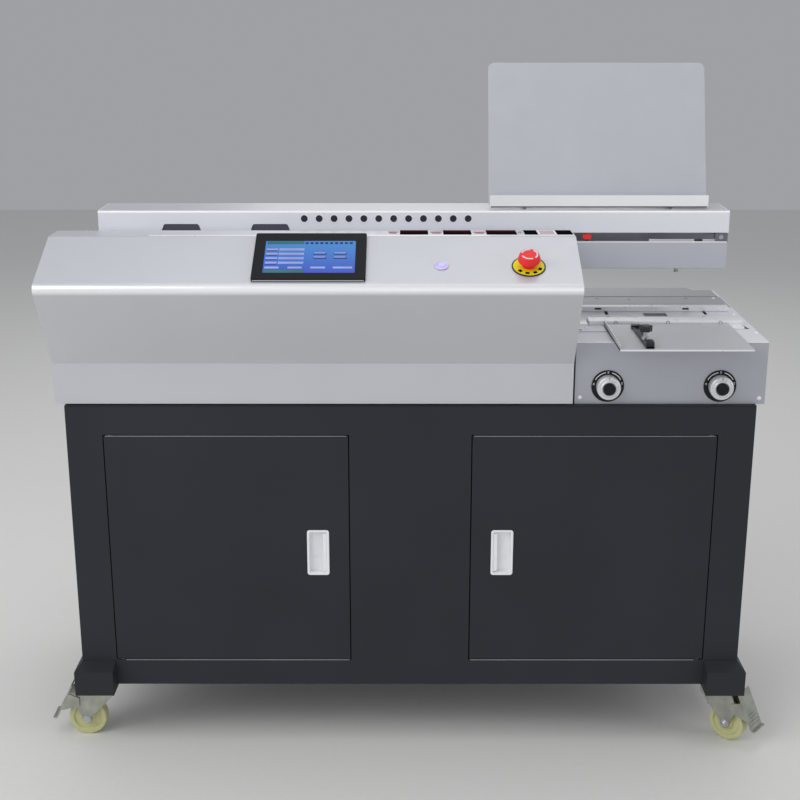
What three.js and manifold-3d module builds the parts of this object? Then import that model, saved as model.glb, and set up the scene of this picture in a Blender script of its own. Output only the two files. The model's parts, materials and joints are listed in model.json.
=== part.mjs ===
import * as THREE from "three";
import { mergeVertices } from "three/addons/utils/BufferGeometryUtils.js";
import Module from "manifold-3d";

// Floor-standing glue binding machine: a wheeled steel cabinet, a hinged front cover over the
// milling and gluing stations, a clamp beam with a sliding book clamp, and a nipping bed.
// Millimetres. +X is the machine's right, +Y its back, +Z up. Heights are above the floor and
// Y is measured from the cabinet's front face, until the last lines centre the whole machine.

const wasm = await Module();
wasm.setup();

// Stock and clearances
const sheet = 2;
const seat = 0.3;
const running = 0.3;
const lap = 0.5;
const overrun = 5;
const roundSides = 24;
const smallSides = 12;

// Cabinet
const cabinetWidth = 1279;
const cabinetDepth = 490;
const footLevel = 121;
const railRise = 8.5;
const sillRise = 52.5;
const headDrop = 57;
const deckLevel = 700;
const outerStile = 67;
const centrePost = 228;
const foldDepth = 20;
const ventLength = 140;
const ventHeight = 6;
const ventPitch = 18;
const ventRows = 6;
const ventDrop = 140;
const ventOffset = 330;
const rearVentDrop = 66;
const rearVentOffset = 165;

// Doors and their recessed pulls
const doorGap = 2;
const doorThickness = 18;
const pivotInset = 10;
const pivotSetback = 6;
const pivotRadius = 3;
const pullWidth = 42;
const pullHeight = 92;
const pullDrop = 235;
const pullInset = 61;
const pullFlange = 1.5;
const pullRim = 4;
const pullDepth = 13;
const pullCorner = 5;

// Corner brackets
const bracketWidth = 75;
const bracketReach = 10.4;
const bracketProud = 32;
const bracketUnder = 95;
const bracketFall = 10;
const bracketWall = 3;

// Casters
const wheelRadius = 37.5;
const wheelWidth = 25;
const treadEdge = 4;
const hubRadius = 14;
const hubWidth = 29;
const axleRadius = 5;
const swivelSetback = 45;
const casterTrail = 33;
const casterPlate = 3;
const casterPlateLength = 90;
const casterPlateWidth = 66;
const raceRadius = 26;
const raceHeight = 10;
const crownThickness = 4;
const crownHalf = 24;
const forkPlate = 3;
const forkGap = 1.5;
const axleBoss = 10;
const frontTurn = THREE.MathUtils.degToRad(-40);
const rearTurn = THREE.MathUtils.degToRad(62);

// Brake pedals
const pedalPivotX = 50;
const pedalPivotLevel = 76;
const pedalPin = 3;
const pedalWidth = 42;
const pedalPlate = 2.5;
const pedalTopX = 58;
const pedalTopLevel = 112;
const pedalToeX = 92;
const pedalToeLevel = 41;
const pedalLip = 8;
const pedalArm = 9;
const pedalArmGap = 0.8;

// Hinged front cover, as its section runs from the hinge over the nose to the skirt
const coverOverhang = 17.5;
const coverGap = 3.5;
const coverRise = 307;
const coverRearGap = 6;
const coverFold = 43.5;
const noseReach = 99;
const noseDrop = 66.5;
const waistSetback = 4;
const skirtHeight = 79;
const skirtLift = 2.3;
const noseRadius = 14;
const foldRadius = 4;
const cheekDepth = 26;
const bendSteps = 4;

// Cover hinge
const hingeForward = 59;
const hingeDrop = 15;
const barrelRadius = 4;
const hingePinRadius = 2;
const knuckleLength = 40;
const knuckleCount = 4;
const knuckleInset = 60;
const leafReach = 11;
const leafGap = 3;
const knuckleOverlap = 1;

// Touch panel
const panelInboard = 479;
const panelWidth = 200;
const panelHeight = 141;
const panelInset = 19;
const panelThickness = 6;
const panelCorner = 4;
const panelBodyDepth = 30;
const panelBodyInset = 9;
const screenWidth = 162;
const screenHeight = 98;
const screenLift = 2;
const screenDepth = 2.5;
const screenThickness = 1.5;

// Emergency stop and power button
const stopInboard = 92.5;
const stopInset = 64;
const stopPlateRadius = 30;
const stopPlateThickness = 1.5;
const stopHeadRadius = 20;
const stopHeadRise = 28;
const stopHeadThickness = 13;
const stopNeckRadius = 14;
const stopNeckRise = 7;
const stopShankRadius = 10.5;
const stopShankDepth = 26;
const powerInboard = 246;
const powerInset = 66;
const powerRingRadius = 12.5;
const powerRingRise = 2.6;
const powerBarrelRadius = 10.5;
const powerCapRadius = 8.2;
const powerCapRise = 3.2;
const powerDepth = 24;

// Fixed housing behind the cover
const housingInset = 13;
const housingFront = 22;
const rearHousingHeight = 200;
const rearHousingGap = 2.5;
const throatForward = 4;
const throatHeight = 112;
const stripDrop = 11;
const stripBehind = 5;
const stripFlange = 14;

// Beam
const beamLeftInset = 44.5;
const beamRightInset = 30.5;
const beamFront = 179;
const beamDepth = 105.5;
const beamRise = 333.6;
const beamFaceHeight = 41.6;
const beamBackHeight = 123.6;
const ventHoleRadius = 7.5;
const ventHoleCount = 12;
const ventHolePitch = 28.4;
const ventHoleInset = 393.2;
const ventHoleDrop = 14.8;
const windowWidth = 78;
const windowTopWidth = 66;
const windowHeight = 16.4;
const windowInsets = [158, 328];

// Frame plate and guide rods
const framePlate = 10;
const framePlateGap = 2.5;
const framePlateEndGap = 15;
const armDrop = 8.6;
const armHeight = 100;
const armInset = 9;
const railBlock = 15;
const railBlockDepth = 20;
const rodRadius = 7;
const rodSetback = 11;
const rodDrops = [83.6, 27.6];

// Book clamp
const clampLength = 420;
const clampRightGap = 1;
const jawThickness = 14;
const jawDrop = 111;
const jawHeight = 52.4;
const jawOpening = 50;
const backJawThickness = 8;
const backJawDrop = 43.6;
const saddleInset = 27;
const saddleClearance = 1.5;
const saddleDrop = 13.6;
const saddleHeight = 85;
const jawRodRadius = 5;
const jawRodInset = 12;
const jawRodDrop = 50.6;
const jawLug = 24;
const jawLugDrop = 43.1;

// Book rest on the beam
const restInset = 37;
const restWidth = 420;
const restLength = 278;
const restLean = THREE.MathUtils.degToRad(20);
const restBehind = 40;
const restLift = 7;
const restLedge = 19;
const restLip = 20;
const restCorner = 12;
const gussetInset = 70;
const gussetDepth = 52;
const gussetHeight = 60;
const gussetThickness = 3;

// Nipping bed
const bedWidth = 352.5;
const bedOverhang = 16.5;
const bedFront = 10;
const bedRearOverhang = 6;
const bedRise = 118.6;
const bedStepX = 41;
const bedStepY = 24;
const bedWindowInset = 184.5;
const bedWindowBehind = 20;
const bedWindowWidth = 46;
const bedWindowDepth = 34;
const nipLeftInset = 39.5;
const nipRightInset = 16;
const nipDepth = 34;
const nipHeight = 9.7;
const nipFrontForward = 80;
const nipBackBehind = 47;
const nipTravel = 42;
const nipKey = 6;
const nipKeyDrop = 14;
const nipKeyInset = 50;
const nipHoleWidth = 14;
const nipHoleHeight = 4;
const nipHoleLeftInset = 35;
const nipHoleRightInset = 86;

// Paper tray and its side stop
const trayInset = 67.5;
const trayWidth = 239;
const trayReach = 68;
const trayRearGap = 4;
const trayRise = 5.4;
const trayHem = 3.5;
const trayRim = 7;
const trayRunner = 12;
const trayRunnerInset = 30;
const stopBarInset = 47;
const stopBarWidth = 15;
const stopBarHeight = 4;
const stopBarFrontInset = 6;
const stopBarRearInset = 30;
const stopFootHeight = 12;
const stopFootLength = 26;
const stopStemSetback = 8;
const stopStemRadius = 4;
const stopStemRise = 20;
const stopKnobRadius = 11;
const stopKnobHeight = 11;
const stopKnobWings = 5;
const stopKnobWaveShare = 0.1;

// Setting dials
const dialLeftInset = 60.5;
const dialRightInset = 85;
const dialRise = 35.2;
const dialRingRadius = 30.2;
const dialRingThickness = 1.6;
const dialKnobRadius = 22;
const dialKnobSkirt = 18;
const dialGripRadius = 16;
const dialGripLength = 3;
const dialHubRadius = 11;
const dialHubLength = 5;
const dialShaftRadius = 3;
const dialShaftLength = 24;

// Glue tank and roller
const tankInset = 139.5;
const tankForward = 58;
const tankLength = 320;
const tankDepth = 100;
const tankRise = 35;
const tankHeight = 71;
const tankWall = 4;
const tankFoot = 30;
const rollerRadius = 38;
const rollerWidth = 62;
const rollerAxle = 6;
const spineGap = 1;

// Milling station
const millInset = 180;
const motorRadius = 45;
const motorHeight = 80;
const motorFlange = 6;
const spindleRadius = 7;
const cutterRadius = 50;
const cutterThickness = 10;
const cutterTeeth = 12;
const cutterGullet = 6;
const cutterDrop = 2;
const cutterSides = 48;
const gulletSides = 8;

// Waste bin and power inlet
const binInset = 139.5;
const binWidth = 320;
const binFront = 70;
const binDepth = 310;
const binHeight = 250;
const binWall = 3;
const inletInset = 119.5;
const inletRise = 110.5;
const inletWidth = 50;
const inletHeight = 30;
const inletFlange = 2.5;
const inletBody = 22;
const inletMouthWidth = 24;
const inletMouthHeight = 16;
const inletMouthDepth = 14;
const inletWall = 4;

// Worked out from the sizes above
const halfCabinet = cabinetWidth / 2;
const openingInner = centrePost / 2;
const openingOuter = halfCabinet - outerStile;
const railLevel = footLevel + railRise;
const sillLevel = railLevel + sillRise;
const headLevel = deckLevel - headDrop;
const pullLevel = headLevel - pullDrop;
const ventLevel = deckLevel - ventDrop;
const inletX = halfCabinet - inletInset;
const inletLevel = railLevel + inletRise;
const binLeft = -halfCabinet + binInset;
const bedRight = halfCabinet + bedOverhang;
const bedLeft = bedRight - bedWidth;
const bedRear = cabinetDepth + bedRearOverhang;
const bedLevel = deckLevel + bedRise;
const coverLeft = -halfCabinet - coverOverhang;
const coverRight = bedLeft - coverGap;
const coverLevel = deckLevel + coverRise;
const noseLevel = coverLevel - noseDrop;
const waistLevel = deckLevel + skirtHeight;
const throatFront = beamFront - throatForward;
const throatLevel = deckLevel + throatHeight;
const hingeSetback = throatFront - hingeForward;
const hingeLevel = coverLevel - hingeDrop;
const coverRear = hingeSetback - coverRearGap;
const slope = Math.atan2(coverLevel - noseLevel, coverFold + noseReach);
const housingRight = coverRight - housingInset;
const stripTop = coverLevel - stripDrop;
const stripFront = hingeSetback + stripBehind;
const beamLeft = -halfCabinet + beamLeftInset;
const beamRight = halfCabinet - beamRightInset;
const beamRear = beamFront + beamDepth;
const beamLevel = deckLevel + beamRise;
const beamFaceLevel = beamLevel - beamFaceHeight;
const beamBackLevel = beamLevel - beamBackHeight;
const rearHousingFront = beamRear + rearHousingGap;
const rearHousingLevel = deckLevel + rearHousingHeight;
const rearVentLevel = rearHousingLevel - rearVentDrop;
const framePlateRear = beamRear - framePlateGap;
const framePlateFront = framePlateRear - framePlate;
const framePlateEnd = housingRight - sheet - framePlateEndGap;
const armTop = beamLevel - armDrop;
const armLevel = armTop - armHeight;
const saddleTop = beamLevel - saddleDrop;
const saddleLevel = saddleTop - saddleHeight;
const jawLevel = beamLevel - jawDrop;
const backJawTop = beamLevel - backJawDrop;
const jawRodLevel = beamLevel - jawRodDrop;
const jawLugTop = beamLevel - jawLugDrop;
const spineSetback = beamFront + jawThickness + jawOpening / 2;
const restLeft = beamRight - restInset - restWidth;
const restSetback = beamFront + restBehind;
const nipLeft = bedLeft + nipLeftInset;
const nipRight = bedRight - nipRightInset;
const nipFrontSetback = spineSetback - nipFrontForward;
const nipBackSetback = spineSetback + nipBackBehind;
const trayLeft = bedLeft + trayInset;
const trayRear = nipFrontSetback - trayRearGap;
const trayLevel = bedLevel + trayRise;
const dialX = [bedLeft + dialLeftInset, bedRight - dialRightInset];
const dialLevel = deckLevel + dialRise;
const tankLeft = -halfCabinet + tankInset;
const tankFront = spineSetback - tankForward;
const tankLevel = deckLevel + tankRise;
const rollerX = tankLeft + tankLength / 2;
const millX = coverRight - millInset;
const motorTop = deckLevel + motorHeight;
const cutterTop = bedLevel - cutterDrop;

// Finishes
function finish(color, roughness, metalness) {
  return new THREE.MeshStandardMaterial({ color, roughness, metalness });
}
const slatePaint = finish(0x2b2c30, 0.6, 0.2);
const silverPaint = finish(0xb4b7bc, 0.42, 0.45);
const whitePlastic = finish(0xeeeeea, 0.4, 0.0);
const zincSteel = finish(0xa9aca6, 0.32, 0.9);
const nylon = finish(0xd9d3a4, 0.45, 0.0);
const blackPlastic = finish(0x1c1d20, 0.5, 0.0);
const screenGlass = finish(0x2a63c8, 0.15, 0.0);
const signalRed = finish(0xd8232b, 0.35, 0.0);
const signalYellow = finish(0xe6d21c, 0.4, 0.0);
const violetGlow = finish(0xa79fe0, 0.3, 0.2);
const groundSteel = finish(0xcfd2d6, 0.22, 0.95);
const castAlloy = finish(0x8d9094, 0.5, 0.7);
const darkSteel = finish(0x4c4e52, 0.45, 0.8);
const binGrey = finish(0x6a6d70, 0.7, 0.0);

// Solids from three.js geometries, and the joins and cuts between them
function toSolid(geometry) {
  const plain = geometry.clone();
  plain.deleteAttribute("normal");
  plain.deleteAttribute("uv");
  const merged = mergeVertices(plain);
  const index = merged.index.array;
  const triangles = [];
  for (let i = 0; i < index.length; i += 3) {
    const [a, b, c] = [index[i], index[i + 1], index[i + 2]];
    if (a !== b && b !== c && c !== a) triangles.push(a, b, c);
  }
  const vertProperties = new Float32Array(merged.attributes.position.array);
  const triVerts = new Uint32Array(triangles);
  return new wasm.Manifold(new wasm.Mesh({ numProp: 3, vertProperties, triVerts }));
}

function joined(...solids) {
  return solids.reduce((whole, next) => whole.add(next));
}

function cut(body, ...tools) {
  return tools.reduce((rest, tool) => rest.subtract(tool), body);
}

function part(parent, name, solid, material) {
  const { vertProperties, triVerts } = solid.getMesh();
  const geometry = new THREE.BufferGeometry();
  geometry.setAttribute("position", new THREE.BufferAttribute(new Float32Array(vertProperties), 3));
  geometry.setIndex([...triVerts]);
  geometry.computeVertexNormals();
  const mesh = new THREE.Mesh(geometry, material);
  mesh.name = name;
  parent.add(mesh);
  return mesh;
}

// Ranges: between two ends in either order, about a centre, and past both ends of another range
const span = (a, b) => [Math.min(a, b), Math.max(a, b)];
const around = (centre, size) => [centre - size / 2, centre + size / 2];
const past = ([a, b]) => [a - overrun, b + overrun];

// A block between two limits on each axis
function blockGeometry(x, y, z) {
  const body = new THREE.BoxGeometry(1, 1, 1);
  const corner = body.attributes.position;
  const end = (value) => (value > 0 ? 1 : 0);
  for (let i = 0; i < corner.count; i += 1) {
    corner.setXYZ(i, x[end(corner.getX(i))], y[end(corner.getY(i))], z[end(corner.getZ(i))]);
  }
  return body;
}

const block = (x, y, z) => toSolid(blockGeometry(x, y, z));

// Outlines swept along one axis: (y, z) along X, (x, z) along Y and (x, y) along Z
const sweeps = {
  x: [new THREE.Vector3(0, 1, 0), new THREE.Vector3(0, 0, 1), new THREE.Vector3(1, 0, 0)],
  y: [new THREE.Vector3(1, 0, 0), new THREE.Vector3(0, 0, 1), new THREE.Vector3(0, -1, 0)],
  z: [new THREE.Vector3(1, 0, 0), new THREE.Vector3(0, 1, 0), new THREE.Vector3(0, 0, 1)],
};

function prismGeometry(axis, outline, from, to) {
  const drawn = outline instanceof THREE.Shape;
  const shape = drawn ? outline : new THREE.Shape(outline.map(([a, b]) => new THREE.Vector2(a, b)));
  const settings = { depth: to - from, bevelEnabled: false, curveSegments: bendSteps };
  const start = axis === "y" ? -to : from;
  const place = new THREE.Matrix4().makeBasis(...sweeps[axis]);
  return new THREE.ExtrudeGeometry(shape, settings).translate(0, 0, start).applyMatrix4(place);
}

const prism = (axis, outline, from, to) => toSolid(prismGeometry(axis, outline, from, to));

// A round bar along one axis, centred on the other two coordinates in X, Y, Z order
function barGeometry(axis, radius, from, to, [a, b], sides = smallSides) {
  const length = to - from;
  const bar = new THREE.CylinderGeometry(radius, radius, length, sides).translate(0, (from + to) / 2, 0);
  if (axis === "x") return bar.rotateZ(-Math.PI / 2).translate(0, a, b);
  if (axis === "z") return bar.rotateX(Math.PI / 2).translate(a, b, 0);
  return bar.translate(a, 0, b);
}

function bar(axis, radius, from, to, centre, sides) {
  return toSolid(barGeometry(axis, radius, from, to, centre, sides));
}

// A turned body about the Z axis from [radius, height] points, taken in either order
function turned(profile, sides = roundSides) {
  const points = profile.map(([r, z]) => new THREE.Vector2(r, z));
  if (THREE.ShapeUtils.area(points) < 0) points.reverse();
  if (profile.every(([r]) => r > 0)) points.push(points[0].clone());
  return new THREE.LatheGeometry(points, sides).rotateX(Math.PI / 2);
}

function collar(bore, rim, foot, top) {
  return toSolid(turned([[bore, foot], [rim, foot], [rim, top], [bore, top]]));
}

function roundedRectangle(width, height, radius, x = 0, y = 0) {
  const [w, h] = [width / 2, height / 2];
  const shape = new THREE.Shape();
  shape.moveTo(x - w + radius, y - h);
  shape.lineTo(x + w - radius, y - h);
  shape.absarc(x + w - radius, y - h + radius, radius, -Math.PI / 2, 0);
  shape.lineTo(x + w, y + h - radius);
  shape.absarc(x + w - radius, y + h - radius, radius, 0, Math.PI / 2);
  shape.lineTo(x - w + radius, y + h);
  shape.absarc(x - w + radius, y + h - radius, radius, Math.PI / 2, Math.PI);
  shape.lineTo(x - w, y - h + radius);
  shape.absarc(x - w + radius, y - h + radius, radius, Math.PI, -Math.PI / 2);
  return shape;
}

// The line of a bent sheet with round bends, and the closed section of that sheet
function roundBends(corners, radii) {
  const line = [corners[0]];
  for (let i = 1; i < corners.length - 1; i += 1) {
    const [before, corner, after] = corners.slice(i - 1, i + 2).map(([a, b]) => new THREE.Vector2(a, b));
    const radius = radii[i - 1];
    const back = before.clone().sub(corner).normalize();
    const ahead = after.clone().sub(corner).normalize();
    const half = Math.acos(back.dot(ahead)) / 2;
    const reach = radius / Math.tan(half);
    const inward = back.clone().add(ahead).normalize();
    const centre = corner.clone().addScaledVector(inward, radius / Math.sin(half));
    const start = corner.clone().addScaledVector(back, reach);
    const end = corner.clone().addScaledVector(ahead, reach);
    const from = start.clone().sub(centre).angle();
    let turn = end.clone().sub(centre).angle() - from;
    if (turn > Math.PI) turn -= 2 * Math.PI;
    if (turn < -Math.PI) turn += 2 * Math.PI;
    for (let step = 0; step <= bendSteps; step += 1) {
      const angle = from + (turn * step) / bendSteps;
      line.push([centre.x + radius * Math.cos(angle), centre.y + radius * Math.sin(angle)]);
    }
  }
  line.push(corners[corners.length - 1]);
  return line;
}

function offsetLine(line, distance) {
  return line.map((point, i) => {
    const here = new THREE.Vector2(...point);
    const into = i > 0 ? here.clone().sub(new THREE.Vector2(...line[i - 1])).normalize() : null;
    const out = i < line.length - 1 ? new THREE.Vector2(...line[i + 1]).sub(here).normalize() : null;
    const [a, b] = [into ?? out, out ?? into];
    const normal = new THREE.Vector2(-a.y - b.y, a.x + b.x).normalize();
    const stretch = distance / (normal.x * -a.y + normal.y * a.x);
    return [here.x + normal.x * stretch, here.y + normal.y * stretch];
  });
}

const sheetSection = (line, thickness) => [...line, ...offsetLine(line, thickness).reverse()];

// The middle of a bent sheet, drawn in a little at its ends, where an end plate is welded to it
function weldLine(line, thickness) {
  const middle = offsetLine(line, thickness / 2);
  const drawnIn = (end, next) => {
    const [from, to] = [new THREE.Vector2(...end), new THREE.Vector2(...next)];
    return from.addScaledVector(to.sub(from).normalize(), Math.abs(thickness) / 2).toArray();
  };
  const last = middle.length - 1;
  return [drawnIn(middle[0], middle[1]), ...middle.slice(1, last), drawnIn(middle[last], middle[last - 1])];
}

const machine = new THREE.Group();
const subassembly = (x, y, z, parent = machine) => {
  const group = new THREE.Group();
  group.position.set(x, y, z);
  parent.add(group);
  return group;
};

// Cabinet: a folded front frame with two door openings, sides, back, floor and deck
const cabinet = subassembly(0, 0, 0);
const panelTop = deckLevel - sheet - seat;
const backSkin = [cabinetDepth - sheet, cabinetDepth];

function doorOpening(side, grow, y) {
  const x = span(side * (openingInner - grow), side * (openingOuter + grow));
  return block(x, y, [sillLevel - grow, headLevel + grow]);
}

function frontFrame() {
  const face = block([-halfCabinet, halfCabinet], [0, foldDepth], [railLevel, panelTop]);
  const openings = [-1, 1].map((side) => doorOpening(side, 0, past([0, foldDepth])));
  const folds = [-1, 1].map((side) => doorOpening(side, sheet, [0, foldDepth + 2 * overrun]));
  const inside = block([-halfCabinet + sheet, halfCabinet - sheet], [sheet, foldDepth + overrun],
    [railLevel + sheet, panelTop - sheet]);
  const pivotRun = past([sillLevel - sheet, headLevel + sheet]);
  const pivotX = openingOuter - doorGap - pivotInset;
  const pivots = [-pivotX, pivotX].map((x) => bar("z", pivotRadius + running, ...pivotRun, [x, pivotSetback]));
  return cut(face, ...openings, cut(inside, ...folds), ...pivots);
}

part(cabinet, "cabinet_front_frame", frontFrame(), slatePaint);

const sideRun = [foldDepth + seat, cabinetDepth - sheet - seat];
for (const [name, side] of [["cabinet_left_side", -1], ["cabinet_right_side", 1]]) {
  const skin = span(side * halfCabinet, side * (halfCabinet - sheet));
  part(cabinet, name, block(skin, sideRun, [railLevel, panelTop]), slatePaint);
}

// Vent slots in rows through the back, on both sides of a centre
function ventSlots(centre, offset, level) {
  const slots = [];
  for (const side of [-1, 1]) {
    for (let row = 0; row < ventRows; row += 1) {
      const height = around(level - row * ventPitch, ventHeight);
      slots.push(block(around(centre + side * offset, ventLength), past(backSkin), height));
    }
  }
  return slots;
}

function backPanel() {
  const panel = block([-halfCabinet, halfCabinet], backSkin, [railLevel, panelTop]);
  const [w, h] = [inletWidth - 2 * inletWall, inletHeight - 2 * inletWall];
  const inletHole = block(around(inletX, w), past(backSkin), around(inletLevel, h));
  return cut(panel, ...ventSlots(0, ventOffset, ventLevel), inletHole);
}

part(cabinet, "cabinet_back", backPanel(), slatePaint);
const innerSpan = [-halfCabinet + sheet + seat, halfCabinet - sheet - seat];
part(cabinet, "cabinet_floor", block(innerSpan, sideRun, [railLevel, railLevel + sheet]), slatePaint);
const deck = block([-halfCabinet, halfCabinet], [0, cabinetDepth], [deckLevel - sheet, deckLevel]);
part(cabinet, "cabinet_deck", deck, slatePaint);

// Mains inlet low on the back panel
function powerInlet() {
  const flange = prism("y", roundedRectangle(inletWidth, inletHeight, inletWall), 0, inletFlange);
  const fit = 2 * (inletWall + running);
  const behind = [-inletBody, inletFlange / 2];
  const body = block(around(0, inletWidth - fit), behind, around(0, inletHeight - fit));
  const depth = [inletFlange - inletMouthDepth, inletFlange + overrun];
  const mouth = block(around(0, inletMouthWidth), depth, around(0, inletMouthHeight));
  return cut(joined(flange, body), mouth);
}

const inletSeat = subassembly(inletX, cabinetDepth + seat, inletLevel, cabinet);
part(inletSeat, "power_inlet", powerInlet(), blackPlastic);

// Waste bin for the paper milled from the spines
function wasteBin() {
  const outside = block([0, binWidth], [0, binDepth], [0, binHeight]);
  const inside = block([binWall, binWidth - binWall], [binWall, binDepth - binWall],
    [binWall, binHeight + overrun]);
  return cut(outside, inside);
}

const binSeat = subassembly(binLeft, binFront, railLevel + sheet + seat, cabinet);
part(binSeat, "waste_bin", wasteBin(), binGrey);

// Doors: folded pans that turn on pins at the outer end of their top and bottom edges
const doorWidth = openingOuter - openingInner - 2 * doorGap;
const doorHeight = headLevel - sillLevel - 2 * doorGap;
const mouthCorner = pullCorner - pullRim / 2;

function doorPan(side) {
  const toward = (distance) => side * (pivotInset - distance);
  const front = -pivotSetback;
  const back = doorThickness - pivotSetback;
  const pan = block(span(toward(0), toward(doorWidth)), [front, back], [0, doorHeight]);
  const hollow = block(span(toward(sheet), toward(doorWidth - sheet)), [front + sheet, back + overrun],
    [sheet, doorHeight - sheet]);
  const mouth = roundedRectangle(pullWidth - pullRim, pullHeight - pullRim, mouthCorner,
    toward(doorWidth + doorGap - pullInset), pullLevel - sillLevel - doorGap);
  const hole = prism("y", mouth, ...past([front, front + sheet]));
  const pinRuns = [[-doorGap - sheet, sheet / 2], [doorHeight - sheet / 2, doorHeight + doorGap + sheet]];
  const pins = pinRuns.map((run) => bar("z", pivotRadius, ...run, [0, 0]));
  return joined(cut(pan, hollow, hole), ...pins);
}

function pullCup() {
  const flange = prism("y", roundedRectangle(pullWidth, pullHeight, pullCorner), -pullFlange, 0);
  const [w, h] = [pullWidth - pullRim - 2 * running, pullHeight - pullRim - 2 * running];
  const shell = prism("y", roundedRectangle(w, h, mouthCorner), -pullFlange / 2, pullDepth);
  const recess = roundedRectangle(w - pullRim, h - pullRim, mouthCorner);
  return cut(joined(flange, shell), prism("y", recess, -overrun, pullDepth - sheet));
}

for (const [name, side] of [["left_door", -1], ["right_door", 1]]) {
  const pivotX = side * (openingOuter - doorGap - pivotInset);
  const hinge = subassembly(pivotX, pivotSetback, sillLevel + doorGap);
  hinge.name = `${name}_axis`;
  part(hinge, name, doorPan(side), slatePaint);
  const pull = subassembly(side * (pivotInset - doorWidth - doorGap + pullInset), -pivotSetback - seat,
    pullLevel - sillLevel - doorGap, hinge);
  part(pull, `${name}_pull`, pullCup(), whitePlastic);
}

// Corner brackets wrap the cabinet's feet and carry the caster plates
function cornerBracket() {
  const outerX = halfCabinet + bracketReach;
  const innerX = outerX - bracketWidth;
  const top = sillLevel - seat - sheet / 2;
  const across = prism("y", [[innerX, footLevel], [outerX, footLevel], [outerX, top - bracketFall],
    [halfCabinet, top], [innerX, top]], -bracketProud, bracketUnder);
  const along = prism("x", [[-bracketProud, footLevel], [bracketUnder, footLevel], [bracketUnder, top],
    [0, top], [-bracketProud, top - bracketFall]], innerX, outerX);
  const corner = block([innerX - overrun, halfCabinet + seat], [-seat, bracketUnder + overrun],
    [railLevel - seat, top + overrun]);
  const pocket = block([innerX + bracketWall, outerX - bracketReach - bracketWall],
    [-bracketProud + bracketWall, -seat - bracketWall],
    [footLevel + bracketWall, top - bracketFall - bracketWall]);
  const drain = block([innerX + 2 * bracketWall, innerX + 3 * bracketWall],
    around(-bracketProud / 2, bracketWall), [footLevel - overrun, footLevel + 2 * bracketWall]);
  const plate = block(around(outerX - bracketWidth / 2, casterPlateWidth),
    around(swivelSetback, casterPlateLength), [footLevel - casterPlate, footLevel + bracketWall / 2]);
  return joined(cut(across.intersect(along), corner, pocket, drain), plate);
}

function mirroredPart(parent, name, solid, sx, sy, material) {
  const mesh = part(parent, name, solid, material);
  mesh.geometry.scale(sx, sy, 1);
  if (sx * sy < 0) {
    const index = mesh.geometry.index.array;
    for (let i = 0; i < index.length; i += 3) [index[i], index[i + 1]] = [index[i + 1], index[i]];
  }
  mesh.geometry.computeVertexNormals();
  return mesh;
}

// Casters, each about its swivel axis with the wheel trailing along its own +X
const forkHalf = hubWidth / 2 + forkGap;
const plateLevel = footLevel - casterPlate - seat;
const crownTop = plateLevel - raceHeight;
const crownLevel = crownTop - crownThickness;

function casterFork(withLugs) {
  const raceFoot = crownTop - sheet / 2;
  const race = turned([[0, raceFoot], [raceRadius, raceFoot], [raceRadius, plateLevel], [0, plateLevel]]);
  const crownSide = forkHalf + forkPlate + lap;
  const crown = block([-crownHalf - lap, casterTrail + axleBoss + lap], [-crownSide, crownSide],
    [crownLevel, crownTop]);
  const legTop = crownLevel + crownThickness / 2;
  const legTail = withLugs ? pedalPivotX + 2 * pedalPin : casterTrail + axleBoss;
  const leg = [
    [-crownHalf, legTop],
    [-crownHalf, crownLevel - axleBoss],
    [casterTrail - axleBoss, wheelRadius],
    [casterTrail + axleBoss, wheelRadius],
    [legTail, pedalPivotLevel - 2 * pedalPin],
    [legTail, pedalPivotLevel + 2 * pedalPin],
    [casterTrail + axleBoss, legTop],
  ];
  const pieces = [toSolid(race), crown];
  for (const side of [-1, 1]) {
    const plate = span(side * forkHalf, side * (forkHalf + forkPlate));
    pieces.push(prism("y", leg, ...plate), bar("y", axleBoss, ...plate, [casterTrail, wheelRadius]));
  }
  const end = forkHalf + forkPlate + axleRadius;
  pieces.push(bar("y", axleRadius, -end, end, [casterTrail, wheelRadius]));
  const fork = joined(...pieces);
  if (!withLugs) return fork;
  return cut(fork, bar("y", pedalPin + running, -end, end, [pedalPivotX, pedalPivotLevel]));
}

function casterWheel() {
  const [w, h, bore] = [wheelWidth / 2, hubWidth / 2, axleRadius + running];
  const half = [[bore, h], [hubRadius, h], [hubRadius, w], [wheelRadius - treadEdge, w],
    [wheelRadius, w - treadEdge]];
  const profile = [...half, ...half.map(([r, z]) => [r, -z]).reverse()];
  return toSolid(turned(profile).rotateX(Math.PI / 2));
}

function brakePedal() {
  const inner = forkHalf + forkPlate + pedalArmGap;
  const outer = inner + pedalPlate;
  const end = Math.max(pedalWidth / 2, outer);
  const line = [[pedalTopX, pedalTopLevel], [pedalToeX, pedalToeLevel],
    [pedalToeX + pedalLip, pedalToeLevel]];
  const tread = prism("y", sheetSection(line, pedalPlate), -end, end);
  const rootX = pedalPivotX - pedalArm / 2;
  const [midX, midLevel] = [(pedalTopX + pedalToeX) / 2, (pedalTopLevel + pedalToeLevel) / 2];
  const arm = [
    [rootX, pedalPivotLevel - pedalArm],
    [midX + pedalArm, midLevel - 2 * pedalArm],
    [midX - pedalArm, midLevel + 2 * pedalArm],
    [rootX, pedalPivotLevel + pedalArm],
  ];
  const arms = [-1, 1].map((side) => prism("y", arm, ...span(side * inner, side * outer)));
  return joined(tread, ...arms, bar("y", pedalPin, -outer, outer, [pedalPivotX, pedalPivotLevel]));
}

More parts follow.
